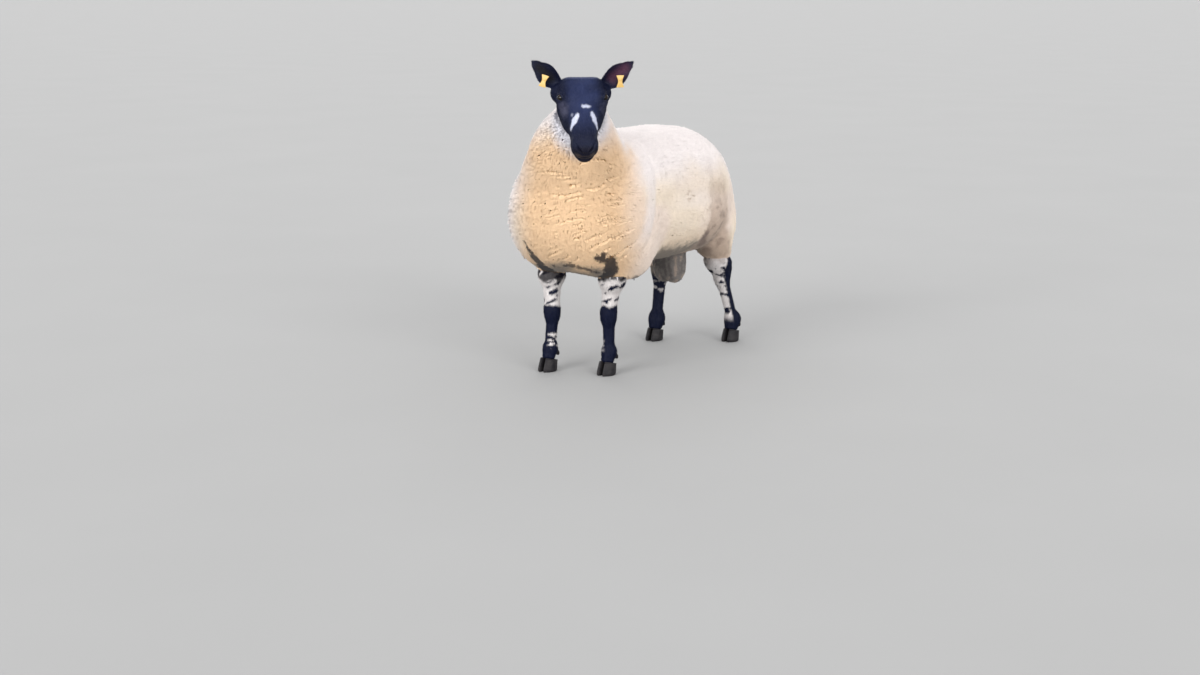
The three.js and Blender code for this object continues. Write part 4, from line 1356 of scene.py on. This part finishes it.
def plateRing(at, breadth, hang, inset):
    # a rounded oblong drawn in at the waist
    ring = []
    for a in turns(72):
        c, s = math.cos(a), math.sin(a)
        reach = max(abs(c), abs(s)) ** 0.92
        u, v = c / reach, s / reach
        narrow = 1 - (1 - tagBuild["waist"]) * math.cos(math.pi / 2 * min(abs(v) * 1.05, 1)) ** 1.3
        u = u * narrow * (tagBuild["width"] / 2 - inset)
        v = v * (tagBuild["height"] / 2 - inset)
        ring.append(at + breadth * u + hang * v)
    return ring


def roundRing(at, breadth, hang, radius):
    return [at + (breadth * math.cos(a) + hang * math.sin(a)) * radius for a in turns(24)]


def earTag(side, word):
    base, axis, hollow = earFrame(side)[:3]
    way = tagBuild[word]
    hang = unit(np.array([0, 0, 1.0]) - hollow * hollow[2])
    slant = math.radians(way["slant"] * side)
    hang = hang * math.cos(slant) + np.cross(hollow, hang) * math.sin(slant)
    breadth = np.cross(hang, hollow)
    at = base + axis * earBuild["length"] * way["at"] - hang * way["drop"] + hollow * tagBuild["front"]
    pin = at + hang * tagBuild["height"] * 0.16
    thick, stem, stud, back = tagBuild["thick"], tagBuild["stem"], tagBuild["stud"], -tagBuild["reach"]
    # the plate, the stud with its stem through the ear, and the boss, each by depth and inset or radius
    plate = [(0, 0.7), (0.25, 0.2), (0.6, 0), (thick - 0.6, 0), (thick - 0.25, 0.2), (thick, 0.7)]
    pinned = [
        (back - 1.4, stud - 0.9), (back - 0.9, stud), (back + 0.9, stud), (back + 1.3, stud - 0.8),
        (back + 1.6, stem + 0.6), (back + 2.6, stem), (-0.6, stem), (0.3, stem + 1.2),
    ]
    boss = [(thick - 0.5, 4.6), (thick + 0.5, 4.4), (thick + 0.9, 3.6)]
    bm = bmesh.new()
    for ring, middle, levels in ((plateRing, at, plate), (roundRing, pin, pinned), (roundRing, pin, boss)):
        spare = bpy.data.meshes.new("spare")
        solid = loft([ring(middle + hollow * z, breadth, hang, reach) for z, reach in levels])
        solid.to_mesh(spare)
        solid.free()
        bm.from_mesh(spare)
        bpy.data.meshes.remove(spare)
    mesh = meshFrom(bm, "tag_" + word)
    return newPiece(mesh.name, mesh, "tag_plastic", "ear_tag_" + word)


tagPieces = [earTag(1, "left"), earTag(-1, "right")]
print("tags made")

# materials
def addNode(tree, kind, settings=None, links=None):
    node = tree.nodes.new("ShaderNode" + kind)
    for key, value in (settings or {}).items():
        if isinstance(key, int) or key in node.inputs:
            node.inputs[key].default_value = value
        else:
            setattr(node, key, value)
    for key, source in (links or {}).items():
        tree.links.new(source, node.inputs[key])
    return node


def newMaterial(name, sockets):
    material = bpy.data.materials.new(name)
    material.use_nodes = True
    tree = material.node_tree
    shader = tree.nodes["Principled BSDF"]
    for socket, value in sockets.items():
        shader.inputs[socket].default_value = value
    return material, tree, shader


def shadeCoat(tree, shader, tone, measure, low, high):
    # the coat's own colour, times a pattern, times a stored measure that runs from low to high
    coat = addNode(tree, "Attribute", {"attribute_name": "coatColour"})
    stored = addNode(tree, "Attribute", {"attribute_name": measure})
    depth = addNode(tree, "MapRange", {"To Min": low, "To Max": high}, {"Value": stored.outputs["Fac"]})
    level = addNode(tree, "Math", {"operation": "MULTIPLY"}, {0: tone.outputs[0], 1: depth.outputs[0]})
    links = {0: coat.outputs["Color"], "Scale": level.outputs[0]}
    shade = addNode(tree, "VectorMath", {"operation": "SCALE"}, links)
    tree.links.new(shade.outputs[0], shader.inputs["Base Color"])


def trimmedWool():
    # short crimped wool: matt, a little lighter at the tips, uneven in greasy patches 36 mm and 6 mm apart
    sockets = {"Roughness": 0.95, "Specular IOR Level": 0.2, "Sheen Weight": 0.1, "Sheen Roughness": 0.6}
    material, tree, shader = newMaterial("trimmedWool", sockets)
    place = addNode(tree, "TexCoord").outputs["Object"]
    patch = addNode(tree, "TexNoise", {"Scale": 28.0, "Detail": 3.0}, {"Vector": place})
    fine = addNode(tree, "TexNoise", {"Scale": 170.0, "Detail": 2.0}, {"Vector": place})
    both = addNode(tree, "Math", {"operation": "ADD"}, {0: patch.outputs["Fac"], 1: fine.outputs["Fac"]})
    span = {"From Min": 0.6, "From Max": 1.4, "To Min": 0.94, "To Max": 1.04}
    tone = addNode(tree, "MapRange", span, {"Value": both.outputs[0]})
    shadeCoat(tree, shader, tone, "rise", 0.94, 1.0)
    return material


def flatHair():
    # short straight hair lying flat: hardly any shine, its tone drawn 4.5 mm apart, coarser than real hair
    sockets = {"Roughness": 0.55, "Specular IOR Level": 0.08}
    material, tree, shader = newMaterial("flatHair", sockets)
    place = addNode(tree, "TexCoord").outputs["Object"]
    fine = addNode(tree, "TexNoise", {"Scale": 220.0, "Detail": 2.0}, {"Vector": place})
    span = {"From Min": 0.3, "From Max": 0.7, "To Min": 0.86, "To Max": 1.1}
    tone = addNode(tree, "MapRange", span, {"Value": fine.outputs["Fac"]})
    shadeCoat(tree, shader, tone, "rise", 0.8, 1.05)
    return material


def hairySkin():
    # the hide under the coat: hair nap in the bump on face and legs, bare and damp on the nose
    material, tree, shader = newMaterial("hairySkin", {"Specular IOR Level": 0.2})
    place = addNode(tree, "TexCoord").outputs["Object"]
    # the nap is drawn 3 mm apart, coarser than real hair, so that it shows
    nap = addNode(tree, "TexNoise", {"Scale": 330.0, "Detail": 3.0}, {"Vector": place})
    span = {"From Min": 0.3, "From Max": 0.7, "To Min": 0.85, "To Max": 1.08}
    tone = addNode(tree, "MapRange", span, {"Value": nap.outputs["Fac"]})
    shadeCoat(tree, shader, tone, "wool", 1.0, 0.95)
    bareness = addNode(tree, "Attribute", {"attribute_name": "bare"})
    rough = addNode(tree, "MapRange", {"To Min": 0.62, "To Max": 0.4}, {"Value": bareness.outputs["Fac"]})
    tree.links.new(rough.outputs[0], shader.inputs["Roughness"])
    bump = addNode(tree, "Bump", {"Strength": 0.5, "Distance": 0.0012}, {"Height": nap.outputs["Fac"]})
    tree.links.new(bump.outputs[0], shader.inputs["Normal"])
    return material


def hoofHorn():
    # grown horn: dull, with fine rings round the toe 5 mm apart and stains 17 mm apart
    sockets = {"Roughness": 0.55, "Specular IOR Level": 0.25}
    material, tree, shader = newMaterial("hoofHorn", sockets)
    place = addNode(tree, "TexCoord").outputs["Object"]
    wave = {"bands_direction": "Z", "Scale": 62.0, "Distortion": 1.6, "Detail": 2.0}
    rings = addNode(tree, "TexWave", wave, {"Vector": place})
    stain = addNode(tree, "TexNoise", {"Scale": 60.0, "Detail": 4.0}, {"Vector": place})
    ramp = addNode(tree, "ValToRGB", {}, {"Fac": stain.outputs["Fac"]})
    for stop, position, code in zip(ramp.color_ramp.elements, (0.3, 0.72), ("#111015", "#2b2829")):
        stop.position = position
        stop.color = rgba(code)
    tree.links.new(ramp.outputs[0], shader.inputs["Base Color"])
    bump = addNode(tree, "Bump", {"Strength": 0.4, "Distance": 0.0008}, {"Height": rings.outputs["Fac"]})
    tree.links.new(bump.outputs[0], shader.inputs["Normal"])
    return material


def wetEye():
    # dark brown iris with a level slot for a pupil, under a clear wet surface
    sockets = {"Roughness": 0.12, "Specular IOR Level": 0.16, "Coat Weight": 0.12, "Coat Roughness": 0.03}
    material, tree, shader = newMaterial("wetEye", sockets)
    gaze = addNode(tree, "Attribute", {"attribute_name": "gaze"})
    split = addNode(tree, "SeparateXYZ", {}, {0: gaze.outputs["Vector"]})
    flat = addNode(tree, "CombineXYZ", {}, {0: split.outputs[0], 1: split.outputs[1]})
    out = addNode(tree, "VectorMath", {"operation": "LENGTH"}, {0: flat.outputs[0]})
    reach = addNode(tree, "MapRange", {"From Max": 0.0125}, {"Value": out.outputs["Value"]})
    iris = addNode(tree, "ValToRGB", {}, {"Fac": reach.outputs[0]})
    stops = [(0.0, "#140d07"), (0.45, "#20150c"), (0.66, "#150e08"), (0.76, "#080606"), (1.0, "#0e0b0b")]
    while len(iris.color_ramp.elements) < len(stops):
        iris.color_ramp.elements.new(0.5)
    for stop, (position, code) in zip(iris.color_ramp.elements, stops):
        stop.position = position
        stop.color = rgba(code)
    # the slot is 11.2 mm long and 5.2 mm high
    slot = {"operation": "MULTIPLY", 1: (1 / 0.0056, 1 / 0.0026, 0)}
    slotted = addNode(tree, "VectorMath", slot, {0: flat.outputs[0]})
    slotOut = addNode(tree, "VectorMath", {"operation": "LENGTH"}, {0: slotted.outputs[0]})
    span = {"From Min": 1.12, "From Max": 0.95}
    pupil = addNode(tree, "MapRange", span, {"Value": slotOut.outputs["Value"]})
    mixed = {"data_type": "RGBA", 7: rgba("#050405")}
    mix = addNode(tree, "Mix", mixed, {0: pupil.outputs[0], 6: iris.outputs[0]})
    tree.links.new(mix.outputs[2], shader.inputs["Base Color"])
    return material


def mouldedTag():
    # flexible yellow polyurethane: satin, slightly grubby in spots 8 mm apart
    material, tree, shader = newMaterial("mouldedTag", {"Roughness": 0.42})
    place = addNode(tree, "TexCoord").outputs["Object"]
    dirt = addNode(tree, "TexNoise", {"Scale": 120.0, "Detail": 4.0}, {"Vector": place})
    span = {"From Min": 0.5, "From Max": 0.8, "To Max": 0.35}
    amount = addNode(tree, "MapRange", span, {"Value": dirt.outputs["Fac"]})
    mixed = {"data_type": "RGBA", 6: rgba("#d3ad64"), 7: rgba("#bd9a55")}
    mix = addNode(tree, "Mix", mixed, {0: amount.outputs[0]})
    tree.links.new(mix.outputs[2], shader.inputs["Base Color"])
    return material


for pieces, material in (
    (fleecePieces, trimmedWool()), (hairPieces, flatHair()), ([skin], hairySkin()),
    (hoofPieces, hoofHorn()), (eyePieces, wetEye()), (tagPieces, mouldedTag()),
):
    for piece in pieces:
        piece.data.materials.append(material)
print("materials made")

# floor, light and camera
studio = {
    "floor": "#a6a6a5", "floorSize": 400.0, "sky": "#f5f5f7", "skyStrength": 1.03, "backdrop": "#d3d5d7",
    "key": {"strength": 2.12, "spread": 32, "at": (-1.0, -12.0, 5.0)},
    "fill": {"strength": 1.5, "spread": 36, "at": (10.0, -4.0, 4.4)},
    "rear": {"strength": 0.8, "spread": 60, "at": (-6.0, 9.0, 3.5)},
}
floorMesh = bmesh.new()
bmesh.ops.create_grid(floorMesh, x_segments=1, y_segments=1, size=studio["floorSize"] / 2)
floor = newObject("floor", meshFrom(floorMesh, "floor"))
# an even matt floor, mottled a few per cent about half a metre apart
floorMaterial, tree, shader = newMaterial("paleFloor", {"Roughness": 0.9})
place = addNode(tree, "TexCoord").outputs["Object"]
mottle = addNode(tree, "TexNoise", {"Scale": 1.5, "Detail": 3.0}, {"Vector": place})
tone = addNode(tree, "MapRange", {"To Min": 0.97, "To Max": 1.03}, {"Value": mottle.outputs["Fac"]})
plain = {"operation": "SCALE", 0: rgba(studio["floor"])[:3]}
shade = addNode(tree, "VectorMath", plain, {"Scale": tone.outputs[0]})
tree.links.new(shade.outputs[0], shader.inputs["Base Color"])
floor.data.materials.append(floorMaterial)

world = bpy.data.worlds.new("studioWorld")
bpy.context.scene.world = world
world.use_nodes = True
tree = world.node_tree
sky = tree.nodes["Background"]
sky.inputs["Color"].default_value = rgba(studio["sky"])
sky.inputs["Strength"].default_value = studio["skyStrength"]
backdrop = addNode(tree, "Background", {"Color": rgba(studio["backdrop"]), "Strength": 1.0})
direct = addNode(tree, "LightPath").outputs["Is Camera Ray"]
seen = addNode(tree, "MixShader", {}, {0: direct, 1: sky.outputs[0], 2: backdrop.outputs[0]})
tree.links.new(seen.outputs[0], tree.nodes["World Output"].inputs["Surface"])

# distant soft lamps, so that the floor is lit evenly
for name in ("key", "fill", "rear"):
    way = studio[name]
    lamp = bpy.data.lights.new(name, "SUN")
    lamp.energy, lamp.angle = way["strength"], math.radians(way["spread"])
    holder = newObject(name, lamp)
    holder.location = way["at"]
    holder.rotation_euler = (Vector((0, 0, 0.5)) - Vector(way["at"])).to_track_quat("-Z", "Y").to_euler()

cameraBuild = {"place": (3100.67, -4161.52, 1210), "azimuth": 35.8, "pitch": 11.916, "lens": 51.99}
lens = bpy.data.cameras.new("camera")
lens.sensor_width, lens.lens = 36.0, cameraBuild["lens"]
camera = newObject("camera", lens)
camera.location = toRow(np.array(cameraBuild["place"]))
camera.rotation_euler = (math.radians(90 - cameraBuild["pitch"]), 0, math.radians(cameraBuild["azimuth"]))
bpy.context.scene.camera = camera
bpy.context.scene.view_settings.view_transform = "Standard"

bpy.context.view_layer.update()
